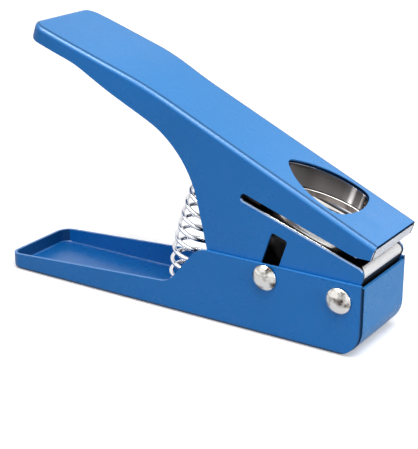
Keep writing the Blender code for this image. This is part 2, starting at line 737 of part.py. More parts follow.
def punch_carrier(material):
    """Block under the punch, whose slotted eye rides on the middle rivet's sleeve."""
    half = CARRIER_LENGTH / 2
    side = CARRIER_WIDTH / 2
    edge = CARRIER_EDGE
    outline = rounded([(PIN_SLOT_MIDDLE + half, CARRIER_LOW, edge),
                       (PIN_SLOT_MIDDLE + half, CARRIER_TOP, edge),
                       (PIN_SLOT_MIDDLE - half, CARRIER_TOP, edge),
                       (PIN_SLOT_MIDDLE - half, CARRIER_LOW, edge)])
    block = across("carrier", outline, -side, side)
    lift = PIN_SLEEVE / 2 + FIT_GAP
    reach = PIN_SLOT_HALF - lift
    eye = arc((PIN_SLOT_MIDDLE + reach, PIN_OPEN[1]), lift, -math.pi / 2, math.pi / 2)
    eye += arc((PIN_SLOT_MIDDLE - reach, PIN_OPEN[1]), lift, math.pi / 2, 3 * math.pi / 2)
    cut(block, across("eye", eye, -side - OVERRUN, side + OVERRUN))
    sink = SCREW_HEAD / 2 + FIT_GAP
    hole = SCREW_SHANK / 2 + FIT_GAP
    low = CARRIER_LOW - OVERRUN
    seat = CARRIER_LOW + SCREW_SINK
    high = CARRIER_TOP + OVERRUN
    profile = [(0, low), (sink, low), (sink, seat), (hole, seat), (hole, high), (0, high)]
    for s in SCREW_PLACES:
        cut(block, turned("screw_hole", profile, (0, 0, 1), (s, 0, 0), SMALL_STEPS))
    return finish(block, "punch_carrier", material)


def punch_screw(node, s, material):
    """Cap screw that holds the punch on its carrier, with a hexagon socket."""
    seat = CARRIER_LOW + SCREW_SINK - FIT_GAP
    head_low = seat - SCREW_HEAD_HEIGHT
    tip = PUNCH_LOW + SCREW_GRIP
    shank = SCREW_SHANK / 2
    head = SCREW_HEAD / 2
    profile = [(0, head_low), (head, head_low), (head, seat), (shank, seat), (shank, tip), (0, tip)]
    screw = turned(node, profile, (0, 0, 1), (s, 0, 0), SMALL_STEPS)
    corner = SOCKET_WIDTH / math.sqrt(3)
    hexagon = [(s + corner * math.cos(math.tau * k / 6), corner * math.sin(math.tau * k / 6))
               for k in range(6)]
    cut(screw, upright("socket", hexagon, head_low - OVERRUN, head_low + SOCKET_DEPTH))
    return finish(screw, node, material)


# Return spring

def stud_profile():
    """Turned stud that keeps one end of the spring in place."""
    radius = STUD_DIAMETER / 2
    return [(0, FIT_GAP), (radius, FIT_GAP), (radius, STUD_HEIGHT - STUD_CHAMFER),
            (radius - STUD_CHAMFER, STUD_HEIGHT), (0, STUD_HEIGHT)]


def spring_seats():
    """Foot of the spring on the tray floor, and its top under the handle, in world X and Z."""
    foot = Vector((FRONT - SPRING_FOOT_BACK, SHEET))
    under = top_height(-SPRING_TOP_BACK) - SHEET / math.cos(math.radians(TOP_DEG))
    tilt = math.radians(OPEN_DEG)
    x = PIVOT.x - SPRING_TOP_BACK * math.cos(tilt) + under * math.sin(tilt)
    z = PIVOT.z + SPRING_TOP_BACK * math.sin(tilt) + under * math.cos(tilt)
    lean = math.radians(OPEN_DEG + TOP_DEG)
    return foot, Vector((x, z)), Vector((math.sin(lean), math.cos(lean)))


def spring_axis(part):
    """Point and direction on the bowed axis of the spring, part of the way up it."""
    foot, top, top_way = spring_seats()
    clear = SPRING_WIRE / 2 + FIT_GAP
    start = foot + Vector((0.0, clear))
    end = top - top_way * clear
    handle = (end - start).length / 3
    controls = (start, start + Vector((0.0, handle)), end - top_way * handle, end)
    rest = 1 - part
    weights = (rest ** 3, 3 * rest ** 2 * part, 3 * rest * part ** 2, part ** 3)
    slopes = (-3 * rest ** 2, 3 * rest ** 2 - 6 * rest * part, 6 * rest * part - 3 * part ** 2, 3 * part ** 2)
    point = sum((control * weight for control, weight in zip(controls, weights)), Vector((0.0, 0.0)))
    way = sum((control * slope for control, slope in zip(controls, slopes)), Vector((0.0, 0.0)))
    return point, way.normalized(), (end - start).length


def spring_points():
    """Centre line of the wire: close end coils, and open coils between them."""
    length = spring_axis(0.0)[2]
    coils = SPRING_COILS + 2 * SPRING_END_COILS
    end_rise = SPRING_END_COILS * SPRING_END_PITCH
    pitch = (length - 2 * end_rise) / SPRING_COILS
    radius = (SPRING_DIAMETER - SPRING_WIRE) / 2
    count = round(coils * SPRING_POINTS)
    points = []
    for step in range(count + 1):
        turn = coils * step / count
        low = min(turn, SPRING_END_COILS)
        high = max(0.0, turn - SPRING_END_COILS - SPRING_COILS)
        rise = (low + high) * SPRING_END_PITCH + (turn - low - high) * pitch
        point, way, _ = spring_axis(rise / length)
        angle = math.tau * turn + math.pi
        forward = radius * math.cos(angle)
        sideways = -radius * math.sin(angle)
        points.append(Vector((point.x + way.y * forward, sideways, point.y - way.x * forward)))
    return points


def spring_gap(points):
    """Least clear gap between neighbouring coils of the wire."""
    least = SPRING_DIAMETER
    for index, point in enumerate(points):
        for other in points[index + SPRING_POINTS // 2 + 1:]:
            least = min(least, (other - point).length)
    return least - SPRING_WIRE


def return_spring(material):
    """Round-wire compression spring, bowed because its seats are not parallel."""
    points = spring_points()
    curve = bpy.data.curves.new("return_spring", "CURVE")
    curve.dimensions = "3D"
    curve.bevel_depth = SPRING_WIRE / 2
    curve.bevel_resolution = 1
    curve.use_fill_caps = True
    curve.resolution_u = 1
    curve.render_resolution_u = 1
    line = curve.splines.new("POLY")
    line.points.add(len(points) - 1)
    for place, point in zip(line.points, points):
        place.co = (*point, 1.0)
    spring = bpy.data.objects.new("return_spring", curve)
    bpy.context.scene.collection.objects.link(spring)
    curve.materials.append(material)
    print(f"return_spring: least gap between coils {spring_gap(points) * 1000:.2f} mm")
    return spring


def spring_stud(node, material):
    """Locating stud, turned about Z on its seat."""
    return finish(turned(node, stud_profile(), (0, 0, 1), (0, 0, 0), ROUND_STEPS), node, material)


# Assembly

def clear_scene():
    """Empty the scene before modelling."""
    for item in list(bpy.data.objects):
        bpy.data.objects.remove(item)


def empty(name, place, turn_deg, parent=None):
    """Empty that stands on a joint's axis."""
    frame = bpy.data.objects.new(name, None)
    frame.empty_display_size = RIVET_HEAD
    frame.location = place
    frame.rotation_euler = (0.0, math.radians(turn_deg), 0.0)
    frame.parent = parent
    bpy.context.scene.collection.objects.link(frame)
    return frame


def main():
    clear_scene()
    enamel = surface("blue_enamel", (0.028, 0.155, 0.480), 0.0, 0.28)
    nickel = surface("nickel_plate", (0.60, 0.57, 0.53), 1.0, 0.18)
    rivet_steel = surface("rivet_nickel", (0.66, 0.62, 0.56), 1.0, 0.22)
    steel = surface("machined_steel", (0.42, 0.42, 0.43), 1.0, 0.38)
    spring_steel = surface("spring_steel", (0.74, 0.74, 0.76), 1.0, 0.16)
    screw_black = surface("black_oxide", (0.03, 0.03, 0.032), 0.7, 0.45)

    base_tray(enamel)
    rivet("pivot_rivet", PIVOT, rivet_steel)
    rivet("punch_pin_rivet", PIN, rivet_steel)
    sleeve("pivot_sleeve", PIVOT, PIVOT_SLEEVE, steel)
    sleeve("punch_pin_sleeve", PIN, PIN_SLEEVE, steel)
    foot, top, top_way = spring_seats()
    lower = spring_stud("spring_stud_lower", steel)
    lower.location = (foot.x, 0.0, foot.y)
    return_spring(spring_steel)

    hinge = empty("handle_axis", PIVOT, OPEN_DEG)
    slide = empty("punch_slide", (0, 0, 0), 0.0, hinge)
    carried = [handle_frame(enamel), die_holder(nickel), die_plate(nickel), guide_block(nickel)]
    for side, hand, place in (("left", -1, DOWEL_PLACES[0]), ("right", 1, DOWEL_PLACES[1])):
        carried.append(gap_spacer("gap_spacer_" + side, hand, steel))
        carried.append(dowel("die_dowel_" + side, place, steel))
    for piece in carried:
        piece.parent = hinge
    upper = spring_stud("spring_stud_upper", steel)
    upper.location = (top.x, 0.0, top.y)
    upper.rotation_euler = (0.0, math.pi + math.radians(OPEN_DEG + TOP_DEG), 0.0)
    punch = [punch_head(steel), punch_carrier(screw_black)]
    punch.append(punch_screw("punch_screw_front", SCREW_PLACES[0], screw_black))
    punch.append(punch_screw("punch_screw_rear", SCREW_PLACES[1], screw_black))
    for piece in punch:
        piece.parent = slide
    swing = OPEN_DEG - CLOSED_DEG
    print(f"punch_slide: travel {PUNCH_STROKE * 1000:.2f} mm for {swing:.1f} degrees of the handle")


main()
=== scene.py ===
# %% [markdown]
# # A guitar pick punch in blue enamel, nickel and chrome
#
# The tool is two channels of pressed sheet steel. The lower one is the base tray, and the
# upper one is the handle, which hinges on the front rivet. A nickel die set sits in the
# handle's jaw, a punch on the middle rivet works inside it, and a bowed chrome spring
# lifts the handle. The frame brings the solids, their places and their joints. Here each
# visible surface is made again, finer, in the same place.

import json
import math

import bmesh
import bpy
from mathutils import Matrix, Vector


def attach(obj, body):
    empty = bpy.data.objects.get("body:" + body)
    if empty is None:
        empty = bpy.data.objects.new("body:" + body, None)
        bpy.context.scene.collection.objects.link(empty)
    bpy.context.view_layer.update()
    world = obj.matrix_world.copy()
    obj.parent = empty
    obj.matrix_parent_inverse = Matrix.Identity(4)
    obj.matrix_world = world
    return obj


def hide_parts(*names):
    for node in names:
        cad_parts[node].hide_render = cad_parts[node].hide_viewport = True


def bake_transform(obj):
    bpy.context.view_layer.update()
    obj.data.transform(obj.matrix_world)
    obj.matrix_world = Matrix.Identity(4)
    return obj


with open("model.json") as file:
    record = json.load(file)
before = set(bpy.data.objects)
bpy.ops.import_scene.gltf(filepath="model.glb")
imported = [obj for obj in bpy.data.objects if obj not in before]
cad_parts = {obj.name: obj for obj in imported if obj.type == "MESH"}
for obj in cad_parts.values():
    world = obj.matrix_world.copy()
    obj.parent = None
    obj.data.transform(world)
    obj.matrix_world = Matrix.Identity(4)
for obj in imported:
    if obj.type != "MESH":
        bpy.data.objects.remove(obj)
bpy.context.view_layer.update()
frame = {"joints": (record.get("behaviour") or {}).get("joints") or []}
MM = 0.001
hinge = next(joint for joint in frame["joints"] if joint["type"] == "hinge")
slide = next(joint for joint in frame["joints"] if joint["type"] == "slide")

# %% [markdown]
# The handle is drawn square and then tipped open, as a sheet-metal drawing would show it.
# Its frame has S along the card gap towards the jaw, N square to the gap, and its origin
# on the hinge. The punch slides along N, so the slide joint's axis gives the tilt.

# %% The two frames that pieces are drawn in
PIVOT = Vector(hinge["pos_m"])
WAY_N = Vector(slide["axis"]).normalized()
WAY_S = Vector((WAY_N.z, 0.0, -WAY_N.x))
HANDLE_FRAME = Matrix((
    (WAY_S.x, 0.0, WAY_N.x, PIVOT.x),
    (0.0, 1.0, 0.0, 0.0),
    (WAY_S.z, 0.0, WAY_N.z, PIVOT.z),
    (0.0, 0.0, 0.0, 1.0)))
WORLD_FRAME = Matrix.Identity(4)
OPEN_ANGLE = math.atan2(WAY_N.x, WAY_N.z)
hinge_place = ", ".join(f"{value / MM:.1f}" for value in PIVOT)
print(f"handle open by {math.degrees(OPEN_ANGLE):.1f} degrees about {hinge_place} mm")

# %% [markdown]
# Pressed and turned metal is all arcs and straight lines, so a few small helpers draw most
# outlines: they give the points of an arc or a circle, round the corners of a polygon, and
# find where two lines cross. A facet is the angle of arc that one straight edge stands for.

# %% Outline helpers
FACET = math.radians(4.0)


def arc(centre, radius, start, end, facet=FACET):
    """Points on an arc, with both ends."""
    steps = max(2, math.ceil(abs(end - start) / facet))
    points = []
    for step in range(steps + 1):
        angle = start + (end - start) * step / steps
        points.append((centre[0] + radius * math.cos(angle),
                       centre[1] + radius * math.sin(angle)))
    return points


def circle(centre, radius, steps=32):
    """Points round a full circle."""
    turns = [math.tau * k / steps for k in range(steps)]
    return [(centre[0] + radius * math.cos(turn), centre[1] + radius * math.sin(turn))
            for turn in turns]


def rounded(corners, facet=FACET):
    """Closed outline from (u, v, radius) corners."""
    outline = []
    for index, (u, v, radius) in enumerate(corners):
        here = Vector((u, v))
        if radius == 0:
            outline.append((u, v))
            continue
        before = Vector(corners[index - 1][:2])
        after = Vector(corners[(index + 1) % len(corners)][:2])
        into = (here - before).normalized()
        out = (after - here).normalized()
        turn = math.atan2(into.x * out.y - into.y * out.x, into.dot(out))
        start = here - into * radius * math.tan(abs(turn) / 2)
        centre = start + Vector((-into.y, into.x)) * radius * math.copysign(1.0, turn)
        angle = math.atan2(start.y - centre.y, start.x - centre.x)
        outline.extend(arc(centre, radius, angle, angle + turn, facet))
    return outline


def lines_meet(point_a, angle_a, point_b, angle_b):
    """Where two lines, each a point and an angle, cross."""
    ua, va = math.cos(angle_a), math.sin(angle_a)
    ub, vb = math.cos(angle_b), math.sin(angle_b)
    du, dv = point_b[0] - point_a[0], point_b[1] - point_a[1]
    reach = (du * vb - dv * ub) / (ua * vb - va * ub)
    return point_a[0] + ua * reach, point_a[1] + va * reach


square = rounded([(0.0, 0.0, MM), (4 * MM, 0.0, MM), (4 * MM, 4 * MM, MM), (0.0, 4 * MM, MM)])
print(f"a square with rounded corners takes {len(square)} points")

# %% [markdown]
# Each pressed piece starts as a loft through rings of points, and is then trimmed and
# pierced by Booleans, as a press trims and pierces a drawn blank. Cutters reach well past
# the piece, so no two faces coincide. A cutter may wear a material, which the faces that it
# leaves behind then wear too.

# %% Solid helpers
PAST = 12 * MM


def mesh_object(name, shape):
    """Object from a bmesh, with its faces turned outwards."""
    bmesh.ops.recalc_face_normals(shape, faces=shape.faces)
    mesh = bpy.data.meshes.new(name)
    shape.to_mesh(mesh)
    shape.free()
    piece = bpy.data.objects.new(name, mesh)
    bpy.context.scene.collection.objects.link(piece)
    return piece


def loft(name, rings):
    """Solid through rings of equally many points."""
    shape = bmesh.new()
    loops = [[shape.verts.new(point) for point in ring] for ring in rings]
    count = len(rings[0])
    for lower, upper in zip(loops, loops[1:]):
        for index in range(count):
            after = (index + 1) % count
            shape.faces.new((lower[index], lower[after], upper[after], upper[index]))
    shape.faces.new(loops[0])
    shape.faces.new(loops[-1])
    return mesh_object(name, shape)


def across(name, outline, low, high):
    """Prism of a side-view outline, drawn along Y."""
    return loft(name, [[(u, y, v) for u, v in outline] for y in (low, high)])


def upright(name, outline, low, high):
    """Prism of a plan-view outline, drawn upwards."""
    return loft(name, [[(u, v, z) for u, v in outline] for z in (low, high)])


def round_bar(name, centre, radius, half_length):
    """Round cutter along Y."""
    return across(name, circle(centre, radius, 48), -half_length, half_length)


def round_hole(name, centre, radius, low, high):
    """Round cutter upwards."""
    return upright(name, circle(centre, radius), low, high)


# %% Boolean helpers
def bake(piece):
    """Turn the piece's modifiers into plain mesh."""
    graph = bpy.context.evaluated_depsgraph_get()
    made = bpy.data.meshes.new_from_object(piece.evaluated_get(graph), depsgraph=graph)
    piece.modifiers.clear()
    old = piece.data
    piece.data = made
    bpy.data.meshes.remove(old)


def combine(piece, operation, tools):
    """Boolean each tool into the piece, and keep the result."""
    for tool in tools:
        modifier = piece.modifiers.new("shape", "BOOLEAN")
        modifier.operation = operation
        modifier.solver = "EXACT"
        modifier.material_mode = "TRANSFER"
        modifier.object = tool
        bake(piece)
        bpy.data.objects.remove(tool)
    return piece


def cut(piece, *tools):
    """Take the tools away from the piece."""
    return combine(piece, "DIFFERENCE", tools)


def trim(piece, *tools):
    """Keep only what lies inside the tools."""
    return combine(piece, "INTERSECT", tools)


# %% [markdown]
# Sheared and machined edges are never quite sharp. A narrow bevel on them and face-weighted
# normals keep the flats flat and let the edges catch light. Stray double points, which
# Booleans leave, are merged first. A finished piece then gets its material, hides the solid
# that it stands for, and is handed to the body that it moves with.

# %% Finishing helpers
WELD = 0.002 * MM
EDGE_ANGLE = math.radians(35.0)
FLAT_WEIGHT = 60


def redress(piece, material):
    """One material all over the piece."""
    piece.data.materials.clear()
    piece.data.materials.append(material)
    piece.data.polygons.foreach_set("material_index", [0] * len(piece.data.polygons))


def dressed(piece, material):
    """The same solid, wearing a material that its cut faces keep."""
    piece.data.materials.append(material)
    return piece


def soften(piece, width):
    """Break the sharp edges, and let the large faces rule the shading."""
    shape = bmesh.new()
    shape.from_mesh(piece.data)
    bmesh.ops.remove_doubles(shape, verts=shape.verts, dist=WELD)
    bmesh.ops.dissolve_degenerate(shape, edges=shape.edges, dist=WELD)
    shape.to_mesh(piece.data)
    shape.free()
    piece.data.shade_smooth()
    bevel = piece.modifiers.new("edge", "BEVEL")
    bevel.width = width
    bevel.segments = 2
    bevel.limit_method = "ANGLE"
    bevel.angle_limit = EDGE_ANGLE
    bevel.use_clamp_overlap = True
    bevel.miter_outer = "MITER_ARC"
    weigh = piece.modifiers.new("flats", "WEIGHTED_NORMAL")
    weigh.keep_sharp = True
    weigh.weight = FLAT_WEIGHT
    bake(piece)


def place(piece, body, material, node, matrix=WORLD_FRAME):
    """Put a finished piece in place, dress it if asked, and hand it to its body, if it has one."""
    piece.data.transform(matrix)
    if material:
        redress(piece, material)
    piece.data.name = piece.name
    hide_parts(node)
    if body:
        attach(piece, body)
    print(f"{piece.name}: {len(piece.data.polygons)} faces, moves with {body or 'two bodies'}")


print("helpers ready")

# %% [markdown]
# ## Finishes
#
# A finish is more than a colour. The enamel is sprayed and baked, so it has a faint orange
# peel and slow drifts of tone. Plated steel is a mirror that stains and brushes a little.
# All patterns read Object coordinates, in metres, so they stay on the piece when it moves.
# A few helpers add the nodes that every finish needs.

# %% Node helpers
def new_material(name, colour, metallic=0.0):
    """Material with its shader, ready for nodes."""
    material = bpy.data.materials.new(name)
    material.use_nodes = True
    shader = material.node_tree.nodes["Principled BSDF"]
    shader.inputs["Base Color"].default_value = (*colour, 1.0)
    shader.inputs["Metallic"].default_value = metallic
    material.diffuse_color = (*colour, 1.0)
    return material, material.node_tree, shader


def noise(tree, scale, detail, stretch=(1.0, 1.0, 1.0), turn=0.0, shift=(0.0, 0.0, 0.0)):
    """Noise on Object coordinates, with the pattern stretched and turned about Y."""
    place_on = tree.nodes.new("ShaderNodeTexCoord")
    mapping = tree.nodes.new("ShaderNodeMapping")
    mapping.inputs["Scale"].default_value = stretch
    mapping.inputs["Location"].default_value = shift
    mapping.inputs["Rotation"].default_value = (0.0, turn, 0.0)
    texture = tree.nodes.new("ShaderNodeTexNoise")
    texture.inputs["Scale"].default_value = scale
    texture.inputs["Detail"].default_value = detail
    tree.links.new(place_on.outputs["Object"], mapping.inputs["Vector"])
    tree.links.new(mapping.outputs["Vector"], texture.inputs["Vector"])
    return texture.outputs["Fac"]


def spread(tree, value, low, high, start=0.3, end=0.7):
    """Map the middle of a pattern onto a range of numbers."""
    node = tree.nodes.new("ShaderNodeMapRange")
    for name, number in zip(("From Min", "From Max", "To Min", "To Max"), (start, end, low, high)):
        node.inputs[name].default_value = number
    tree.links.new(value, node.inputs["Value"])
    return node.outputs["Result"]


def tint(tree, value, first, second):
    """Mix two colours, or a colour from other nodes with a plain one, by a pattern."""
    node = tree.nodes.new("ShaderNodeMix")
    node.data_type = "RGBA"
    if isinstance(first, tuple):
        node.inputs["A"].default_value = (*first, 1.0)
    else:
        tree.links.new(first, node.inputs["A"])
    node.inputs["B"].default_value = (*second, 1.0)
    tree.links.new(value, node.inputs["Factor"])
    return node.outputs["Result"]


def bump(tree, shader, value, depth):
    """Raise the surface by a pattern, depth in metres."""
    node = tree.nodes.new("ShaderNodeBump")
    node.inputs["Distance"].default_value = depth
    node.inputs["Strength"].default_value = 1.0
    tree.links.new(value, node.inputs["Height"])
    tree.links.new(node.outputs["Normal"], shader.inputs["Normal"])


def shade(colour, factor):
    """The colour made darker or lighter."""
    return tuple(channel * factor for channel in colour)


def grey(value):
    """A grey as three channels."""
    return (value, value, value)


print("node helpers ready")

# %% [markdown]
# The enamel is a satin-gloss blue. Its body colour is deep, and the pale look of the top
# comes from the lamps and the sky that it mirrors, and from a greener copy of the blue that
# is painted on faces that look up and on the flap as painted light. Darker copies of the blue
# paint the shade on sheared edges, along the bends, in the window and on tucked-away faces,
# and paler ones paint highlights on bends and edges.

# %% Enamels
ENAMEL_BLUE = (0.003, 0.174, 0.555)
# A greener copy of the blue, painted where the light falls on the top and on the flap.
LIT_TOP_BLUE = (0.003, 0.196, 0.545)
# A pale blue for the painted highlights along bends and edges.
HIGHLIGHT_BLUE = (0.040, 0.250, 0.640)
# A pale blue painted as a highlight on the card slot's lower lip.
LIP_HIGHLIGHT_BLUE = (0.340, 0.500, 0.780)
ENAMEL_IOR = 1.46
SATIN, SMOOTH, DRY = (0.25, 0.33), (0.30, 0.40), (0.45, 0.60)
DRIFT_SCALE, GLOSS_SCALE, PEEL_SCALE = 22.0, 140.0, 520.0
DRIFT_DARK, DRIFT_LIGHT = 0.96, 1.05
PEEL_DEPTH = 0.004 * MM


def enamel(name, colour, rough):
    """Baked enamel with a drift of tone, uneven gloss and a faint orange peel."""
    material, tree, shader = new_material(name, colour)
    shader.inputs["IOR"].default_value = ENAMEL_IOR
    drift = spread(tree, noise(tree, DRIFT_SCALE, 2.0), 0.0, 1.0)
    tone = tint(tree, drift, shade(colour, DRIFT_DARK), shade(colour, DRIFT_LIGHT))
    tree.links.new(tone, shader.inputs["Base Color"])
    gloss = spread(tree, noise(tree, GLOSS_SCALE, 4.0), *rough)
    tree.links.new(gloss, shader.inputs["Roughness"])
    bump(tree, shader, noise(tree, PEEL_SCALE, 2.0), PEEL_DEPTH)
    return material


blue_enamel = enamel("blue_enamel", ENAMEL_BLUE, SATIN)
lit_top_enamel = enamel("lit_top_enamel", LIT_TOP_BLUE, SATIN)
# A dark copy of the blue that paints the shade on sheared edges and on the wedge's top.
edge_shade_enamel = enamel("edge_shade_enamel", shade(ENAMEL_BLUE, 0.22), DRY)
# A very dark copy of the blue for painted shade deep inside the tray's front.
recess_shade_enamel = enamel("recess_shade_enamel", shade(ENAMEL_BLUE, 0.10), DRY)
# A darker copy of the blue that paints the shade on the window's wall.
window_shade_enamel = enamel("window_shade_enamel", shade(ENAMEL_BLUE, 0.60), SMOOTH)
# A darker copy of the top's blue paints the dark band that the upper bend would mirror.
bend_shade_enamel = enamel("bend_shade_enamel", shade(LIT_TOP_BLUE, 0.45), SATIN)
# A dark copy of the blue for painted shade inside the tail and under the bottom bends.
deep_shade_enamel = enamel("deep_shade_enamel", shade(ENAMEL_BLUE, 0.36), SMOOTH)
highlight_enamel = enamel("highlight_enamel", HIGHLIGHT_BLUE, SATIN)
rubbed_edge = enamel("rubbed_edge", LIP_HIGHLIGHT_BLUE, SMOOTH)
print("enamels:", ", ".join(made.name for made in bpy.data.materials if "enamel" in made.name))

# %% [markdown]
# Plated steel is a mirror that stains. Nickel is warmer than chrome and picks up brown
# stains. The die set's grinding runs square to the card gap, so its noise is drawn out
# along N. One recipe makes them all: patches of stain, uneven gloss and a fine grain. On the
# rivets the dark patches are painted reflections of something dark above.

# %% Metals
GROUND_ALONG_N = {"grain": (1.0, 1.0, 0.18), "turn": -OPEN_ANGLE}
POLISH_SCALE, GRAIN_SCALE = 420.0, 1400.0


def plated(name, colour, patch_colour, rough, patch_share, metallic=1.0, grain=(1.0, 1.0, 1.0), turn=0.0,
           depth=0.004, patch=95.0, shift=(0.0, 0.0, 0.0), edge=(0.42, 0.72)):
    """Plated or blackened steel, with patches of stain or painted reflection that start and end at
    the edge values.
    """
    material, tree, shader = new_material(name, colour, metallic)
    patch_noise = noise(tree, patch, 5.0, grain, turn, shift)
    patches = spread(tree, patch_noise, 0.0, patch_share, *edge)
    tree.links.new(tint(tree, patches, colour, patch_colour), shader.inputs["Base Color"])
    gloss = spread(tree, noise(tree, POLISH_SCALE, 4.0, grain, turn), *rough)
    tree.links.new(gloss, shader.inputs["Roughness"])
    bump(tree, shader, noise(tree, GRAIN_SCALE, 3.0, grain, turn), depth * MM)
    return material


# A dark copy of nickel that paints shade on hole walls and on the cheeks' inner faces.
shaded_nickel = plated("shaded_nickel", (0.27, 0.24, 0.22), (0.07, 0.055, 0.05), (0.10, 0.20), 0.9,
                    depth=0.006, patch=210.0, **GROUND_ALONG_N)
nickel_bright = plated("nickel_bright", (0.93, 0.92, 0.90), (0.60, 0.56, 0.52), (0.16, 0.28), 0.5)
# A greyer, bluer copy of nickel for the wedge's front face: painted shade.
shaded_face_nickel = plated("shaded_face_nickel", (0.82, 0.85, 0.92), (0.68, 0.70, 0.78), (0.22, 0.34), 0.6)
# The rivets' dark patches are painted reflections; the shift sets one on top of each dome.
nickel_rivet = plated("nickel_rivet", (0.88, 0.86, 0.82), (0.08, 0.06, 0.05), (0.05, 0.13), 1.0,
                      depth=0.012, patch=260.0, shift=(0.0091, 0.0147, 0.0119), edge=(0.48, 0.64))
chrome_wire = plated("chrome_wire", (0.86, 0.87, 0.90), (0.60, 0.62, 0.66), (0.06, 0.14), 0.4)
turned_steel = plated("turned_steel", (0.46, 0.46, 0.47), (0.30, 0.28, 0.26), (0.28, 0.42), 0.6)
# Black oxide on the screws. On the carrier, the punch's body and the guide's sides and lower nose
# it also paints shade.
black_oxide_and_shade = plated("black_oxide_and_shade", (0.020, 0.019, 0.019), (0.045, 0.036, 0.030), (0.38, 0.55), 0.5)
worn_edge = plated("worn_edge", (0.86, 0.88, 0.93), (0.05, 0.09, 0.20), (0.45, 0.60), 0.9)
# Near-black steel that paints shade: under the die plate, on the sleeves and on the spacers.
shade_dark_steel = plated("shade_dark_steel", (0.075, 0.062, 0.055), (0.12, 0.09, 0.07), (0.30, 0.45), 0.6)
ground_steel = plated("ground_steel", (0.93, 0.93, 0.93), (0.80, 0.79, 0.78), (0.42, 0.55), 0.5,
                      metallic=0.3, grain=(1.0, 0.15, 1.0))
# Near-white, barely metallic steel for the guide's nose: a painted highlight.
nose_highlight_steel = plated("nose_highlight_steel", (0.97, 0.97, 0.98), (0.90, 0.90, 0.92), (0.30, 0.42), 0.5,
                     metallic=0.15)
print("metals made: nickel, chrome, turned and ground steel, black oxide")

# %% [markdown]
# The wall of the pick-shaped hole and the top of the guide block carry dark and bright bands
# along the handle, from what they mirror. Small mirrors deep in a slot are noisy to render,
# so the bands are painted reflections: a colour ramp along S says how dark the painted band
# is. Each stop is a place in millimetres and a darkness from 0 to 1.

# %% Banded nickel
BAND_PATCH_TONE = 0.6


def banded(name, colour, dark, stops):
    """Nickel with a painted dark band, as dark as each stop says at its place along the handle."""
    material = plated(name, colour, shade(colour, BAND_PATCH_TONE), rough=(0.10, 0.22),
                      patch_share=0.6, **GROUND_ALONG_N)
    tree = material.node_tree
    shader = tree.nodes["Principled BSDF"]
    spot = tree.nodes.new("ShaderNodeTexCoord")
    along = tree.nodes.new("ShaderNodeVectorMath")
    along.operation = "DOT_PRODUCT"
    along.inputs[1].default_value = WAY_S
    tree.links.new(spot.outputs["Object"], along.inputs[0])
    start, end = stops[0][0], stops[-1][0]
    ramp = tree.nodes.new("ShaderNodeValToRGB")
    marks = ramp.color_ramp.elements
    for mark_s, darkness in stops[1:-1]:
        marks.new((mark_s - start) / (end - start)).color = (*grey(darkness), 1.0)
    marks[0].color = (*grey(stops[0][1]), 1.0)
    marks[len(stops) - 1].color = (*grey(stops[-1][1]), 1.0)
    base = PIVOT.dot(WAY_S)
    part = spread(tree, along.outputs["Value"], 0.0, 1.0, base + start * MM, base + end * MM)
    tree.links.new(part, ramp.inputs["Fac"])
    clean = shader.inputs["Base Color"].links[0].from_socket
    painted_band_tone = tint(tree, ramp.outputs["Color"], clean, dark)
    tree.links.new(painted_band_tone, shader.inputs["Base Color"])
    return material


GUIDE_BANDS = [(-48.0, 0.0), (-45.9, 0.0), (-45.3, 1.0), (-38.0, 1.0), (-33.0, 0.0), (-13.0, 0.0),
               (-7.0, 1.0)]
HOLE_BANDS = [(-42.0, 0.95), (-34.0, 1.0), (-30.0, 0.93), (-22.5, 0.96), (-20.2, 0.88),
              (-19.2, 0.05), (-18.5, 0.05), (-17.7, 0.96), (-15.4, 0.95), (-15.0, 0.6),
              (-14.7, 0.6), (-14.3, 1.0), (-12.0, 1.0)]
# Both finishes carry painted reflections: dark and bright bands along S.
nickel_painted_bands = banded("nickel_painted_bands", (0.90, 0.88, 0.85), (0.035, 0.028, 0.024), GUIDE_BANDS)
hole_wall = banded("hole_wall", (0.95, 0.92, 0.91), (0.11, 0.10, 0.10), HOLE_BANDS)
print("bands on the guide block:", len(GUIDE_BANDS), "- in the hole:", len(HOLE_BANDS))

# %% [markdown]
# ## The base tray
#
# The real tray is folded and drawn from one sheet of about a millimetre. It is made here
# as a rounded tub with the same tub, one sheet smaller, taken out. A side-view prism then
# trims the rim, the swept step and the high walls. Two saw cuts free the front flap, which
# stands a little proud of the walls' rounded front ends.

# %% Tray sizes
SHEET = 1.1 * MM
TRAY_LENGTH = 154.2 * MM
TRAY_HALF = 17.2 * MM
WALL_TOP = 26.7 * MM
FLAP_DROP = 1.0 * MM
SHOULDER_BACK = 65.1 * MM
SWEEP = math.radians(51.0)
SWEEP_RADIUS = 8.4 * MM
RIM_TOP = 6.3 * MM
RIM_RISE = math.radians(3.6)
TAIL_CORNER = 5.0 * MM
FLOOR_BEND = 1.8 * MM
NOSE_RADIUS = 10.5 * MM
NOSE_STEP = 0.6 * MM
SLIT = 0.3 * MM
SLIT_RELIEF = 1.6 * MM
FRONT = TRAY_LENGTH / 2
TAIL = -TRAY_LENGTH / 2
WALL_INNER = TRAY_HALF - SHEET
PIN = Vector((FRONT - 37.0 * MM, 0.0, 22.0 * MM))
SHANK = 3.8 * MM
GAP = 0.3 * MM
BEND_FACET = math.radians(9.0)
SHEET_EDGE = 0.16 * MM
print(f"tray {TRAY_LENGTH / MM:.1f} x {2 * TRAY_HALF / MM:.1f} x {WALL_TOP / MM:.1f} mm")


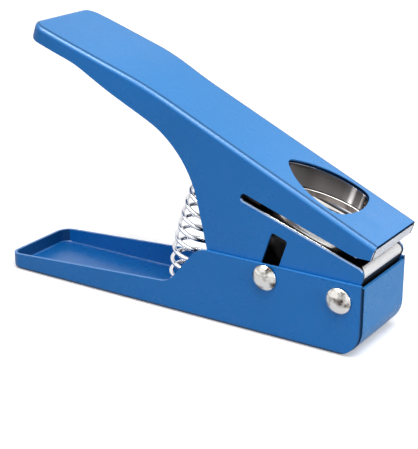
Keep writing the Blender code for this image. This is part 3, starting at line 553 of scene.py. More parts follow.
# %% Tray blocks
def tub(name, inset, floor, bend, top):
    """Plan of the tray with its floor edge rounded, drawn in by inset."""
    def ring(extra, height):
        side = TRAY_HALF - extra
        radius = TAIL_CORNER - min(extra, SHEET)
        nose, tail = FRONT + PAST, TAIL + extra
        corners = [(nose, -side, 0), (nose, side, 0), (tail, side, radius), (tail, -side, radius)]
        return [(x, y, height) for x, y in rounded(corners, BEND_FACET)]

    quarter = arc((0.0, bend), bend, -math.pi / 2, 0.0, BEND_FACET)
    rings = [ring(inset + bend - u, floor + v) for u, v in quarter]
    return loft(name, rings + [ring(inset, top)])


def nose_block(name, inset, top):
    """Side view of the rolled nose, drawn in by inset."""
    radius = NOSE_RADIUS - inset
    face = FRONT - inset
    outline = [(TAIL - PAST, inset - PAST), (face - radius, inset - PAST)]
    outline += arc((face - radius, inset + radius), radius, -math.pi / 2, 0.0)
    outline += [(face, top), (TAIL - PAST, top)]
    return across(name, outline, -TRAY_HALF - PAST, TRAY_HALF + PAST)


def above_walls():
    """Side view of all that is cut away above the tray's edge."""
    shoulder = (FRONT - SHOULDER_BACK, WALL_TOP)
    foot = lines_meet((TAIL, RIM_TOP), RIM_RISE, shoulder, SWEEP)
    high = WALL_TOP + PAST
    return rounded([
        (TAIL - PAST, RIM_TOP - PAST * math.tan(RIM_RISE), 0), (*foot, SWEEP_RADIUS),
        (*shoulder, SWEEP_RADIUS), (FRONT + PAST, WALL_TOP, 0), (FRONT + PAST, high, 0),
        (TAIL - PAST, high, 0)])


print("points in the cut above the walls:", len(above_walls()))

# %% Press the tray
high = WALL_TOP + PAST
reach = TRAY_HALF + PAST
tray = dressed(tub("enamel_tray", 0.0, 0.0, FLOOR_BEND, high), blue_enamel)
trim(tray, nose_block("nose", 0.0, high + PAST))
hollow = tub("hollow", SHEET, SHEET, FLOOR_BEND - SHEET, high + PAST)
trim(hollow, nose_block("hollow_nose", SHEET, high + 2 * PAST))
cut(tray, hollow)
cut(tray, across("above", above_walls(), -reach, reach))
print(f"pressed tray: {len(tray.data.polygons)} faces")

# %% Free the front flap
slit_back = FRONT - NOSE_RADIUS - SLIT_RELIEF
slit = [(slit_back, -PAST), (FRONT + PAST, -PAST), (FRONT + PAST, high), (slit_back, high)]
step_face = FRONT - NOSE_STEP
step_radius = NOSE_RADIUS - NOSE_STEP
beyond = [(step_face - step_radius, -PAST)]
beyond += arc((step_face - step_radius, step_radius), step_radius, -math.pi / 2, 0.0)
beyond += [(step_face, high), (FRONT + PAST, high), (FRONT + PAST, -PAST)]
# The slits and the cut faces beyond the flap wear dark blue: painted shade in the narrow gaps.
for hand in (-1, 1):
    sides = sorted((hand * (WALL_INNER - SLIT), hand * WALL_INNER))
    cut(tray, dressed(across("slit", slit, *sides), edge_shade_enamel))
    sides = sorted((hand * (WALL_INNER - SLIT / 2), hand * reach))
    cut(tray, dressed(across("beyond", beyond, *sides), edge_shade_enamel))
flap_low = WALL_TOP - FLAP_DROP
flap_half = WALL_INNER - SLIT / 2
flap_edge = [(slit_back, flap_low), (FRONT + PAST, flap_low), (FRONT + PAST, high),
             (slit_back, high)]
cut(tray, across("flap_edge", flap_edge, -flap_half, flap_half))
for centre in (PIVOT, PIN):
    cut(tray, round_bar("bore", (centre.x, centre.z), SHANK / 2 + GAP, reach))
soften(tray, SHEET_EDGE)
print(f"tray with flap and bores: {len(tray.data.polygons)} faces")

# %% [markdown]
# ## The handle
#
# The handle is one long channel. Its top rises from the jaw and levels out at the grip,
# and its cheeks flare there for the hand. It is lofted from stations, which are sections
# square to S, hollowed by the same loft one sheet smaller, and trimmed with its side view,
# which gives the swept throat.

# %% Handle sizes
HANDLE_HALF = 15.8 * MM
GRIP_HALF = 18.0 * MM
NIP_HALF = 17.3 * MM
HANDLE_NOSE = 4.6 * MM
HANDLE_TAIL = 148.0 * MM
TOP_AT_PIVOT = 23.9 * MM
TOP_RISE = math.radians(6.15)
GRIP_BREAK = 104.0 * MM
BREAK_EASE = 9.0 * MM
TAIL_BEND = 2.5 * MM
SIDE_BEND = 1.8 * MM
FLARE_START, FLARE_END = 84.0 * MM, 113.0 * MM
NIP_START = 129.0 * MM
GRIP_CORNER = 7.0 * MM
GRIP_DEPTH = 6.1 * MM
GRIP_LEVEL = 124.0 * MM
THROAT_DEPTH = 11.0 * MM
THROAT_BACK = 90.3 * MM
THROAT_RADIUS = 40.0 * MM
GRIP_EASE = 40.0 * MM
REAR_BACK = 59.2 * MM
REAR_LEAN = math.radians(32.0)
CLOSED = math.radians(1.5)
CHEEK_DROP = 16.5 * MM
CHEEK_CORNER = 4.0 * MM
FOOT_CORNER = 3.0 * MM
SIDE_FACET = FACET / 2


# %% Height and width along the handle
def top_height(s):
    """N of the handle's top face at S."""
    slope = math.tan(TOP_RISE)
    start = -GRIP_BREAK + BREAK_EASE
    if s >= start:
        return TOP_AT_PIVOT - slope * s
    eased = min(start - s, 2 * BREAK_EASE)
    return TOP_AT_PIVOT - slope * start + slope * (eased - eased ** 2 / (4 * BREAK_EASE))


def half_width(s):
    """Half the handle's width in plan at S."""
    marks = [(-HANDLE_NOSE, HANDLE_HALF), (FLARE_START, HANDLE_HALF), (FLARE_END, GRIP_HALF),
             (NIP_START, GRIP_HALF), (HANDLE_TAIL, NIP_HALF)]
    for (start, first), (end, second) in zip(marks, marks[1:]):
        if -s <= end:
            part = max(0.0, (-s - start) / (end - start))
            ease = part * part * (3 - 2 * part) if second > first else part * part
            return first + (second - first) * ease
    return NIP_HALF


tail_height = top_height(-HANDLE_TAIL)
print(f"grip {2 * GRIP_HALF / MM:.1f} mm wide, {tail_height / MM:.1f} mm over the hinge")


# %% Handle blocks
CORNER_TURNS = (9, 18, 27, 36, 44, 52, 59, 65, 70, 75, 79, 83, 86, 88)


def handle_stations():
    """Places where the section changes, close together in the flare and the bend."""
    marks = [HANDLE_NOSE + PAST, -FLARE_START]
    for start, end, count in ((FLARE_START, FLARE_END, 20), (FLARE_END, NIP_START, 4),
                              (NIP_START, HANDLE_TAIL - GRIP_CORNER, 6)):
        marks += [-start - (end - start) * step / count for step in range(1, count + 1)]
    return marks


def handle_block(name, inset):
    """Outside of the handle, drawn in by inset, open below."""
    bend, tail_bend = SIDE_BEND - inset, TAIL_BEND - inset
    corner = GRIP_CORNER - inset
    end = -HANDLE_TAIL + inset
    floor = -CHEEK_DROP - 2 * PAST
    sections = [(s, half_width(s) - inset, top_height(s) - inset) for s in handle_stations()]
    side_there = half_width(-HANDLE_TAIL + GRIP_CORNER) - inset
    for turn in (math.radians(degrees) for degrees in CORNER_TURNS):
        s = end + corner - corner * math.sin(turn)
        depth = max(0.0, tail_bend - (s - end))
        drop = tail_bend - math.sqrt(max(0.0, tail_bend ** 2 - depth ** 2))
        side = side_there - corner + corner * math.cos(turn)
        sections.append((s, side, top_height(s) - inset - drop))
    sections.append((end, side_there - corner, top_height(end) - inset - tail_bend))
    rings = []
    for s, side, top in sections:
        right = arc((side - bend, top - bend), bend, 0.0, math.pi / 2, BEND_FACET)
        ring = [(side, floor)] + right + [(-y, n) for y, n in reversed(right)] + [(-side, floor)]
        rings.append([(s, y, n) for y, n in ring])
    return loft(name, rings)


def side_view():
    """Jaw, cheek, throat and grip seen from the side, open above."""
    peak = top_height(-HANDLE_TAIL) + PAST
    throat = (-THROAT_BACK, top_height(-THROAT_BACK) - THROAT_DEPTH)
    grip = (-GRIP_LEVEL, top_height(-GRIP_LEVEL) - GRIP_DEPTH)
    under = math.atan2(throat[1] - grip[1], throat[0] - grip[0])
    lean = math.pi / 2 + REAR_LEAN
    rear = (-REAR_BACK, 0.0)
    foot = lines_meet((0.0, (SHEET + GAP - PIVOT.z) / math.cos(CLOSED)), CLOSED, rear, lean)
    return rounded([
        (HANDLE_NOSE, peak, 0), (HANDLE_NOSE, -CHEEK_DROP, CHEEK_CORNER), (*foot, FOOT_CORNER),
        (*lines_meet(throat, under, rear, lean), THROAT_RADIUS), (*grip, GRIP_EASE),
        (-HANDLE_TAIL - PAST, grip[1], 0), (-HANDLE_TAIL - PAST, peak, 0)], SIDE_FACET)


print("stations in the handle:", len(handle_stations()) + len(CORNER_TURNS) + 1)


# %% [markdown]
# Three things are pierced in the handle: the card slot through both cheeks, which flares
# at the jaw so that the card finds its way in, the tall slot that rides over the middle
# rivet, and the window in the top, which has the outline of the pick. That outline is four
# arcs that run smoothly into each other, mirrored about the middle.

# %% Openings in the handle
SLOT_FLOOR, SLOT_ROOF = 13.4 * MM, 16.4 * MM
SLOT_BACK = 46.7 * MM
SLOT_END = 1.45 * MM
LEAD_IN, LEAD_RISE, LEAD_EASE = 5.6 * MM, 1.8 * MM, 12.0 * MM
LEG_CORNER = 3.0 * MM
PIN_SLEEVE = 5.0 * MM
PIVOT_SLEEVE = 6.0 * MM
PIN_SLOT_TOP = 8.7 * MM
PIN_SLOT_CORNER = 1.0 * MM
PICK_LENGTH, PICK_WIDTH = 30.6 * MM, 24.8 * MM
PICK_FRONT = -9.8 * MM
TIP_RADIUS, SIDE_RADIUS = 3.2 * MM, 28.0 * MM
SHOULDER_RADIUS, BACK_RADIUS = 5.0 * MM, 24.0 * MM


def pick_outline(inset):
    """Outline of the pick in S and Y, tip at the rear, drawn in by inset."""
    shoulder_y = PICK_WIDTH / 2 - SHOULDER_RADIUS
    back = Vector((PICK_FRONT - BACK_RADIUS, 0.0))
    ahead = math.sqrt((BACK_RADIUS - SHOULDER_RADIUS) ** 2 - shoulder_y ** 2)
    shoulder = Vector((back.x + ahead, shoulder_y))
    tip = Vector((PICK_FRONT - PICK_LENGTH + TIP_RADIUS, 0.0))
    reach_a, reach_b = SIDE_RADIUS - TIP_RADIUS, SIDE_RADIUS - SHOULDER_RADIUS
    span = (shoulder - tip).length
    along = (span ** 2 + reach_a ** 2 - reach_b ** 2) / (2 * span)
    line = (shoulder - tip) / span
    side = tip + line * along + Vector((line.y, -line.x)) * math.sqrt(reach_a ** 2 - along ** 2)
    tip_turn = math.atan2(tip.y - side.y, tip.x - side.x)
    side_turn = math.atan2(shoulder.y - side.y, shoulder.x - side.x)
    back_turn = math.atan2(shoulder.y, shoulder.x - back.x)
    half = arc(tip, TIP_RADIUS - inset, math.pi, tip_turn)
    half += arc(side, SIDE_RADIUS - inset, tip_turn, side_turn, FACET / 2)[1:]
    half += arc(shoulder, SHOULDER_RADIUS - inset, side_turn, back_turn)[1:]
    half += arc(back, BACK_RADIUS - inset, back_turn, 0.0, FACET / 2)[1:]
    return half + [(s, -y) for s, y in reversed(half[1:-1])]


def card_slot():
    """Card slot: round at the rear, flared at the jaw, with the lower leg's corner rounded."""
    nose = HANDLE_NOSE + PAST
    lead = HANDLE_NOSE - LEAD_IN
    leg = (HANDLE_NOSE - LEG_CORNER, SLOT_FLOOR - LEG_CORNER)
    outline = rounded([
        (nose, SLOT_ROOF + LEAD_RISE / LEAD_IN * (nose - lead), 0), (lead, SLOT_ROOF, LEAD_EASE),
        (-SLOT_BACK, SLOT_ROOF, SLOT_END), (-SLOT_BACK, SLOT_FLOOR, SLOT_END),
        (leg[0], SLOT_FLOOR, 0)], BEND_FACET)
    return outline + arc(leg, LEG_CORNER, math.pi / 2, 0.0, BEND_FACET)[1:] + [(nose, leg[1])]


print(f"pick {PICK_LENGTH / MM:.1f} x {PICK_WIDTH / MM:.1f} mm, {len(pick_outline(0.0))} points")

# %% [markdown]
# When the handle closes, the middle rivet stays in the tray, so seen from the handle it
# travels on an arc round the hinge. The tall slot spans that arc with a little room.

# %% Where the middle rivet runs
pin_s = (PIN - PIVOT).dot(WAY_S)
pin_n = (PIN - PIVOT).dot(WAY_N)
pin_far = -(PIN - PIVOT).length
slot_middle = (pin_s + pin_far) / 2
slot_half = (pin_s - pin_far) / 2 + PIN_SLEEVE / 2 + GAP
print(f"middle rivet at S {pin_s / MM:.1f}, N {pin_n / MM:.1f} mm in the handle")

# %% Press and pierce the handle
reach = GRIP_HALF + PAST
handle = dressed(handle_block("enamel_handle", 0.0), blue_enamel)
hollow = handle_block("handle_hollow", SHEET)
for vertex in hollow.data.vertices:
    if vertex.co.x > HANDLE_NOSE:
        vertex.co.x += PAST
    if vertex.co.z < -CHEEK_DROP - PAST:
        vertex.co.z -= PAST
cut(handle, hollow)
# Cut faces left by the side view, the card slot and the pin slot wear dark blue: painted shade.
trim(handle, dressed(across("side_view", side_view(), -reach, reach), edge_shade_enamel))
cut(handle, dressed(across("card_slot", card_slot(), -reach, reach), edge_shade_enamel))
slot_foot = pin_n - PIN_SLEEVE / 2 - GAP
slot_left, slot_right = slot_middle - slot_half, slot_middle + slot_half
pin_slot = rounded([
    (slot_right, slot_foot, PIN_SLEEVE / 2), (slot_right, PIN_SLOT_TOP, PIN_SLOT_CORNER),
    (slot_left, PIN_SLOT_TOP, PIN_SLOT_CORNER), (slot_left, slot_foot, PIN_SLEEVE / 2)])
cut(handle, dressed(across("pin_slot", pin_slot, -reach, reach), edge_shade_enamel))
cut(handle, round_bar("pivot_hole", (0.0, 0.0), PIVOT_SLEEVE / 2 + GAP, reach))
window_top = top_height(PICK_FRONT - PICK_LENGTH) + PAST
window = upright("window", pick_outline(0.0), SLOT_FLOOR, window_top)
# The window's wall wears the darker blue: painted shade.
cut(handle, dressed(window, window_shade_enamel))
soften(handle, SHEET_EDGE)
print(f"handle: {len(handle.data.polygons)} faces")

# %% [markdown]
# ## Painted highlights and shade
#
# Fine lines along the edges tell the eye that this is painted sheet: a painted highlight
# where a bend catches the light, a painted dark band beside it, bare metal at the jaw, and
# painted shade on faces tucked away from the light. The bevels and bends already have strips
# of faces there, so each line is a strip that wears its own enamel. A test on a face's
# direction and place picks the strip. The direction is the face's normal, so 0.9 along Z
# means that it looks almost straight up.

# %% Helper that paints faces
BARELY, FAINTLY, SLIGHTLY, PARTLY, MOSTLY, SQUARELY = 0.1, 0.2, 0.3, 0.5, 0.7, 0.9


def repaint(piece, material, test):
    """Give a material to every face whose direction and place pass the test."""
    if material.name not in piece.data.materials:
        piece.data.materials.append(material)
    index = piece.data.materials.find(material.name)
    chosen = [face for face in piece.data.polygons if test(face.normal, face.center)]
    for face in chosen:
        face.material_index = index
    print(f"{piece.name}: {len(chosen)} faces in {material.name}")


# %% Paint the handle's bends and edges
UPWARD = 0.6
BEND_SHADE_LOW, BEND_SHADE_HIGH = math.sin(math.radians(4.0)), math.sin(math.radians(24.0))
BEND_LOW, BEND_HIGH = math.cos(math.radians(68.0)), math.cos(math.radians(38.0))
BEND_SIDE = HANDLE_HALF - SIDE_BEND
JAW_BACK = HANDLE_NOSE - LEG_CORNER
JAW_TOP = top_height(HANDLE_NOSE) - SIDE_BEND
JAW_INSIDE = -50.0 * MM
JAW_FRONTWARD = 0.35
# Faces that look up wear the lit, greener copy of the blue: painted light.
repaint(handle, lit_top_enamel, lambda way, at: way.z > UPWARD)
# A pale band on each bend, where it faces the lamps: a painted highlight.
repaint(handle, highlight_enamel, lambda way, at: BEND_LOW < way.z < BEND_HIGH
        and abs(way.x) < SLIGHTLY and abs(at.y) > BEND_SIDE and at.z > top_height(at.x) - SIDE_BEND)
# Along the top of each bend, beside the highlight, a dark band is painted: painted shade.
repaint(handle, bend_shade_enamel, lambda way, at: BEND_SHADE_LOW < abs(way.y) < BEND_SHADE_HIGH
        and way.z > UPWARD and abs(at.y) > BEND_SIDE - SHEET)
# The card slot's lower lip, which looks up, gets a pale painted highlight.
repaint(handle, rubbed_edge, lambda way, at: way.z > SLIGHTLY and abs(at.z - SLOT_FLOOR) < 2 * GAP)
repaint(handle, worn_edge, lambda way, at: way.x > JAW_FRONTWARD and at.x > JAW_BACK
        and SLOT_ROOF < at.z < JAW_TOP)
# The cheeks' inner faces near the jaw wear the dark grey-brown nickel: painted shade.
repaint(handle, shaded_nickel, lambda way, at: abs(way.y) > SQUARELY and at.x > JAW_INSIDE
        and HANDLE_HALF - 2 * SHEET < abs(at.y) < HANDLE_HALF - SHEET / 2)
place(handle, "handle", None, "handle_frame", matrix=HANDLE_FRAME)

# %% Paint the tray's bends and edges
TRAY_FRONT = 38.0 * MM
TAIL_WALL = TAIL + TAIL_CORNER + SHEET
BENDWARD = 0.25
OFF_FLOOR = 0.05 * MM
# The inner face of the tail wall is painted darker: painted shade.
repaint(tray, deep_shade_enamel, lambda way, at: way.x > BENDWARD and way.z < PARTLY and at.x < TAIL_WALL)
# Faces that look up along the top of the walls get a pale painted highlight.
repaint(tray, highlight_enamel, lambda way, at: way.z > PARTLY and at.z > RIM_TOP - 2 * SHEET)
# Faces that look down on the bottom bends are painted darker: a painted contact shadow.
repaint(tray, deep_shade_enamel, lambda way, at: way.z < -BENDWARD and at.z > OFF_FLOOR)
# The flap's front wears the lit copy of the blue: painted light where the front lamp falls.
repaint(tray, lit_top_enamel, lambda way, at: way.x > PARTLY and abs(at.y) < WALL_INNER
        and at.x > TRAY_FRONT)
# Inner faces near the front that look back into the tray are painted very dark: painted shade.
repaint(tray, recess_shade_enamel, lambda way, at: way.x < -SLIGHTLY and abs(at.y) < WALL_INNER
        and at.x > TRAY_FRONT)
place(tray, "base", None, "base_tray")

# %% [markdown]
# ## The die set
#
# Under the window sit a nickel wedge, the die plate with its slightly smaller hole, and the
# guide block below the card gap. The wedge is the handle's own loft, one sheet and a gap
# smaller, so it fits under the top. The ledge between wedge and plate catches the light as
# a thin bright line. Their edges are only just broken, as ground tool steel is.

# %% Die set sizes
BLOCK_BACK = 48.0 * MM
HOLDER_NOSE, HOLDER_FLOOR = 4.7 * MM, 18.2 * MM
DIE_NOSE, DIE_FLOOR, DIE_LEAD = 1.2 * MM, 15.5 * MM, 2.0 * MM
DIE_LEDGE = 0.6 * MM
GUIDE_NOSE, GUIDE_THICK, GUIDE_EDGE = 4.4 * MM, 6.7 * MM, 1.6 * MM
GUIDE_ROUND = 3.0 * MM
BLOCK_SIDE = HANDLE_HALF - SHEET - GAP
SPACER_LENGTH, SPACER_WIDTH = 8.2 * MM, 6.0 * MM
DOWEL, DOWEL_RISE = 3.0 * MM, 3.4 * MM
SPACER_SIDE = BLOCK_SIDE - GUIDE_EDGE
DOWEL_S = -BLOCK_BACK + SPACER_LENGTH / 2
DOWEL_Y = SPACER_SIDE - SPACER_WIDTH / 2
DOWEL_TOP = HOLDER_FLOOR + DOWEL_RISE
GROUND_EDGE, PLATE_EDGE, MACHINED_EDGE = 0.12 * MM, 0.35 * MM, 0.10 * MM
print(f"blocks {(BLOCK_BACK + HOLDER_NOSE) / MM:.1f} mm long, {2 * BLOCK_SIDE / MM:.1f} mm wide")


# %% Cut the wedge and the die plate
def dowel_hole(y, low, high):
    """Cutter for one dowel, with a little room round it."""
    return round_hole("dowel_hole", (DOWEL_S, y), DOWEL / 2 + GAP, low, high)


peak = top_height(-BLOCK_BACK) + PAST
holder = dressed(handle_block("nickel_die_holder", SHEET + GAP), nickel_bright)
holder_side = [(HOLDER_NOSE, HOLDER_FLOOR), (HOLDER_NOSE, peak), (-BLOCK_BACK, peak),
               (-BLOCK_BACK, HOLDER_FLOOR)]
trim(holder, across("holder_side", holder_side, -reach, reach))
cut(holder, dressed(upright("holder_hole", pick_outline(0.0), SLOT_FLOOR, peak), hole_wall))
plate_top = HOLDER_FLOOR - GAP
plate_side = [(-BLOCK_BACK, DIE_FLOOR), (DIE_NOSE - DIE_LEAD, DIE_FLOOR),
              (DIE_NOSE, plate_top - SHEET), (DIE_NOSE, plate_top), (-BLOCK_BACK, plate_top)]
plate = dressed(across("nickel_die_plate", plate_side, -BLOCK_SIDE, BLOCK_SIDE), nickel_bright)
plate_hole = upright("plate_hole", pick_outline(DIE_LEDGE), SLOT_FLOOR, HOLDER_FLOOR + PAST)
# The plate's hole wall is dark nickel: painted shade.
cut(plate, dressed(plate_hole, shaded_nickel))
for y in (-DOWEL_Y, DOWEL_Y):
    cut(holder, dowel_hole(y, SLOT_FLOOR, DOWEL_TOP + GAP))
    cut(plate, dowel_hole(y, SLOT_FLOOR, HOLDER_FLOOR + PAST))
print(f"die holder: {len(holder.data.polygons)} faces, die plate: {len(plate.data.polygons)}")

# %% Cut the guide block
guide_low = SLOT_FLOOR - GUIDE_THICK
guide_section = rounded([
    (-BLOCK_SIDE, guide_low, 0), (BLOCK_SIDE, guide_low, 0), (BLOCK_SIDE, SLOT_FLOOR, GUIDE_EDGE),
    (-BLOCK_SIDE, SLOT_FLOOR, GUIDE_EDGE)], BEND_FACET)
guide = loft("nickel_guide_block", [[(s, y, n) for y, n in guide_section]
                                    for s in (-BLOCK_BACK, GUIDE_NOSE)])
dressed(guide, nickel_bright)
round_s, round_n = GUIDE_NOSE - GUIDE_ROUND, SLOT_FLOOR - GUIDE_ROUND
corner = arc((round_s, round_n), GUIDE_ROUND, 0.0, math.pi / 2)
corner += [(round_s, SLOT_FLOOR + PAST), (GUIDE_NOSE + PAST, SLOT_FLOOR + PAST),
           (GUIDE_NOSE + PAST, round_n)]
cut(guide, across("guide_nose", corner, -reach, reach))
guide_hole = upright("guide_hole", pick_outline(DIE_LEDGE), guide_low - PAST, SLOT_FLOOR + PAST)
# The guide's hole wall is dark nickel: painted shade.
cut(guide, dressed(guide_hole, shaded_nickel))
for y in (-DOWEL_Y, DOWEL_Y):
    cut(guide, dowel_hole(y, guide_low - PAST, SLOT_FLOOR + PAST))
print(f"guide block: {len(guide.data.polygons)} faces")

# %% Finish the die set
NOSE_BAND = 0.5 * MM
SIDEWAYS = 0.8
soften(holder, GROUND_EDGE)
soften(plate, PLATE_EDGE)
soften(guide, GROUND_EDGE)
# The wedge's top, seen at the window's edge, wears the dark blue: painted shade.
repaint(holder, edge_shade_enamel, lambda way, at: way.z > SQUARELY)
# The wedge's front face wears the greyer nickel: painted shade.
repaint(holder, shaded_face_nickel, lambda way, at: way.x > MOSTLY and at.x > HOLDER_NOSE - NOSE_BAND)
# The die plate's underside is near-black: painted shade over the card gap.
repaint(plate, shade_dark_steel, lambda way, at: way.z < -PARTLY)
# The guide block's top wears the painted bands of reflection.
repaint(guide, nickel_painted_bands, lambda way, at: way.z > BARELY and way.x < FAINTLY
        and at.z > SLOT_FLOOR - GUIDE_EDGE)
# The guide block's sides are black: painted shade along the cheeks and in the pin slot.
repaint(guide, black_oxide_and_shade, lambda way, at: abs(way.y) > SIDEWAYS and abs(at.y) > SPACER_SIDE)
# The guide's front below its rounded nose is black: painted shade.
repaint(guide, black_oxide_and_shade, lambda way, at: way.x > SQUARELY and at.z < round_n)
# The guide's rounded nose is near-white: a painted highlight.
repaint(guide, nose_highlight_steel, lambda way, at: way.x > FAINTLY and way.z > SLIGHTLY
        and at.x > round_s)
for block, node in ((holder, "die_holder"), (plate, "die_plate"), (guide, "guide_block")):
    place(block, "handle", None, node, matrix=HANDLE_FRAME)

# %% [markdown]
# ## The punch
#
# The punch has the pick's outline with a little clearance, and its ground top lies just
# under the guide's top when the handle is up. It stands on a carrier block whose eye rides
# on the middle rivet's sleeve. Two screws from below hold it there, sunk in the carrier.

# %% Punch and carrier sizes
CARRIER_LENGTH, CARRIER_HALF, CARRIER_HEIGHT = 22.4 * MM, 9.0 * MM, 9.2 * MM
CARRIER_EDGE = 0.8 * MM
PUNCH_RECESS = 0.2 * MM
SCREW_OFFSET, SCREW_SHANK, SCREW_HEAD = 7.2 * MM, 2.7 * MM, 4.8 * MM
SCREW_HEAD_HEIGHT, SCREW_GRIP, SCREW_SINK = 2.4 * MM, 7.0 * MM, 3.0 * MM
SOCKET, SOCKET_DEPTH = 2.2 * MM, 1.2 * MM
carrier_low = pin_n - CARRIER_HEIGHT / 2
carrier_top = pin_n + CARRIER_HEIGHT / 2
carrier_front = slot_middle + CARRIER_LENGTH / 2
carrier_back = slot_middle - CARRIER_LENGTH / 2
punch_low = carrier_top + GAP
punch_top = SLOT_FLOOR - PUNCH_RECESS
screw_places = (slot_middle + SCREW_OFFSET, slot_middle - SCREW_OFFSET)
print(f"punch {(punch_top - punch_low) / MM:.1f} mm tall on a {CARRIER_LENGTH / MM:.1f} mm carrier")

# %% Punch and carrier
head = upright("ground_punch", pick_outline(DIE_LEDGE + GAP), punch_low, punch_top)
carrier = across("punch_carrier_block", rounded([
    (carrier_front, carrier_low, CARRIER_EDGE), (carrier_front, carrier_top, CARRIER_EDGE),
    (carrier_back, carrier_top, CARRIER_EDGE), (carrier_back, carrier_low, CARRIER_EDGE)],
    BEND_FACET), -CARRIER_HALF, CARRIER_HALF)
lift = PIN_SLEEVE / 2 + GAP
eye = arc((slot_middle + slot_half - lift, pin_n), lift, -math.pi / 2, math.pi / 2)
eye += arc((slot_middle - slot_half + lift, pin_n), lift, math.pi / 2, 3 * math.pi / 2)
cut(carrier, across("eye", eye, -CARRIER_HALF - PAST, CARRIER_HALF + PAST))
shank_room, head_room = SCREW_SHANK / 2 + GAP, SCREW_HEAD / 2 + GAP
low, high = carrier_low - PAST, carrier_top + PAST
for s in screw_places:
    spot = (s, 0.0)
    cut(head, round_hole("screw_hole", spot, shank_room, -PAST, punch_low + SCREW_GRIP + GAP))
    cut(carrier, round_hole("screw_hole", spot, shank_room, low, high))
    cut(carrier, round_hole("screw_hole", spot, head_room, low, carrier_low + SCREW_SINK))
soften(head, MACHINED_EDGE)
soften(carrier, MACHINED_EDGE)
redress(head, ground_steel)
GROUND_BAND = 1.5 * MM
# The punch is black below its ground top and on its sides: painted shade seen through the pin slot.
repaint(head, black_oxide_and_shade, lambda way, at: at.z < SLOT_FLOOR - GROUND_BAND or abs(way.z) < SLIGHTLY)
place(head, "punch", None, "punch_head", matrix=HANDLE_FRAME)
# The carrier is black all over: painted shade seen through the pin slot.
place(carrier, "punch", black_oxide_and_shade, "punch_carrier", matrix=HANDLE_FRAME)

# %% [markdown]
# ## Turned pieces
#
# Rivets, sleeves, studs, dowels and screws all come off a lathe, so one Geometry Nodes tree
# makes them all. Its half profile is the plain mesh of the object that wears the modifier.
# The tree moves that in by the radius of a small circle and sweeps it round the circle, so
# the profile keeps its own distance from the axis. The result is stood on its axis later.


# %% The lathe tree
def lathe_tree():
    """Geometry Nodes tree that sweeps a half profile, drawn in X and Y, round the Y axis."""
    tree = bpy.data.node_groups.new("lathe", "GeometryNodeTree")
    face = tree.interface
    face.new_socket("Geometry", in_out="INPUT", socket_type="NodeSocketGeometry")
    steps = face.new_socket("Steps", in_out="INPUT", socket_type="NodeSocketInt")
    core = face.new_socket("Core radius", in_out="INPUT", socket_type="NodeSocketFloat")
    finish = face.new_socket("Finish", in_out="INPUT", socket_type="NodeSocketMaterial")
    face.new_socket("Geometry", in_out="OUTPUT", socket_type="NodeSocketGeometry")
    new, link = tree.nodes.new, tree.links.new
    given, result = new("NodeGroupInput"), new("NodeGroupOutput")
    shift_by = new("ShaderNodeCombineXYZ")
    minus = new("ShaderNodeMath")
    minus.operation = "MULTIPLY"
    minus.inputs[1].default_value = -1.0
    shift = new("GeometryNodeSetPosition")
    profile = new("GeometryNodeMeshToCurve")
    ring = new("GeometryNodeCurvePrimitiveCircle")
    sweep = new("GeometryNodeCurveToMesh")
    weld = new("GeometryNodeMergeByDistance")
    weld.inputs["Distance"].default_value = WELD
    real = new("GeometryNodeRealizeInstances")
    dress = new("GeometryNodeSetMaterial")
    link(given.outputs["Core radius"], minus.inputs[0])
    link(minus.outputs[0], shift_by.inputs["X"])
    link(given.outputs["Geometry"], shift.inputs["Geometry"])
    link(shift_by.outputs["Vector"], shift.inputs["Offset"])
    link(shift.outputs["Geometry"], profile.inputs["Mesh"])
    link(given.outputs["Steps"], ring.inputs["Resolution"])
    link(given.outputs["Core radius"], ring.inputs["Radius"])
    link(ring.outputs["Curve"], sweep.inputs["Curve"])
    link(profile.outputs["Curve"], sweep.inputs["Profile Curve"])
    link(sweep.outputs["Mesh"], weld.inputs["Geometry"])
    link(weld.outputs["Geometry"], real.inputs["Geometry"])
    link(real.outputs["Geometry"], dress.inputs["Geometry"])
    link(given.outputs["Finish"], dress.inputs["Material"])
    link(dress.outputs["Geometry"], result.inputs["Geometry"])
    names = {"steps": steps.identifier, "core": core.identifier, "finish": finish.identifier}
    return tree, names


LATHE, LATHE_INPUTS = lathe_tree()
print("lathe tree with", len(LATHE.nodes), "nodes")


# %% Turn a profile
CORE = 1.0 * MM


def turned(name, profile, material, steps=64):
    """Turned solid about Z from (radius, height) points."""
    mesh = bpy.data.meshes.new(name)
    edges = [(k, k + 1) for k in range(len(profile) - 1)]
    if profile[0][0] > 0:
        edges.append((len(profile) - 1, 0))
    mesh.from_pydata([(r, h, 0.0) for r, h in profile], edges, [])
    piece = bpy.data.objects.new(name, mesh)
    bpy.context.scene.collection.objects.link(piece)
    modifier = piece.modifiers.new("lathe", "NODES")
    modifier.node_group = LATHE
    modifier[LATHE_INPUTS["steps"]] = steps
    modifier[LATHE_INPUTS["core"]] = CORE
    modifier[LATHE_INPUTS["finish"]] = material
    bake(piece)
    heights = [vertex.co.z for vertex in piece.data.vertices]
    if abs(max(heights) - max(h for _, h in profile)) > 0.01 * MM:
        piece.data.transform(Matrix.Scale(-1.0, 4, (0.0, 0.0, 1.0)))
    shape = bmesh.new()
    shape.from_mesh(piece.data)
    bmesh.ops.remove_doubles(shape, verts=shape.verts, dist=WELD)
    bmesh.ops.recalc_face_normals(shape, faces=shape.faces)
    shape.to_mesh(piece.data)
    shape.free()
    piece.data.shade_smooth()
    piece.data.set_sharp_from_angle(angle=EDGE_ANGLE)
    return piece


def stand(axis, centre):
    """Matrix that puts Z on an axis through a centre."""
    turn = Vector((0.0, 0.0, 1.0)).rotation_difference(Vector(axis))
    return Matrix.Translation(centre) @ turn.to_matrix().to_4x4()


print("lathe ready")

# %% [markdown]
# A rivet head is a shallow dome that the riveting die leaves a little flat on top, with a
# short upright edge. Both heads and the shank are one profile.

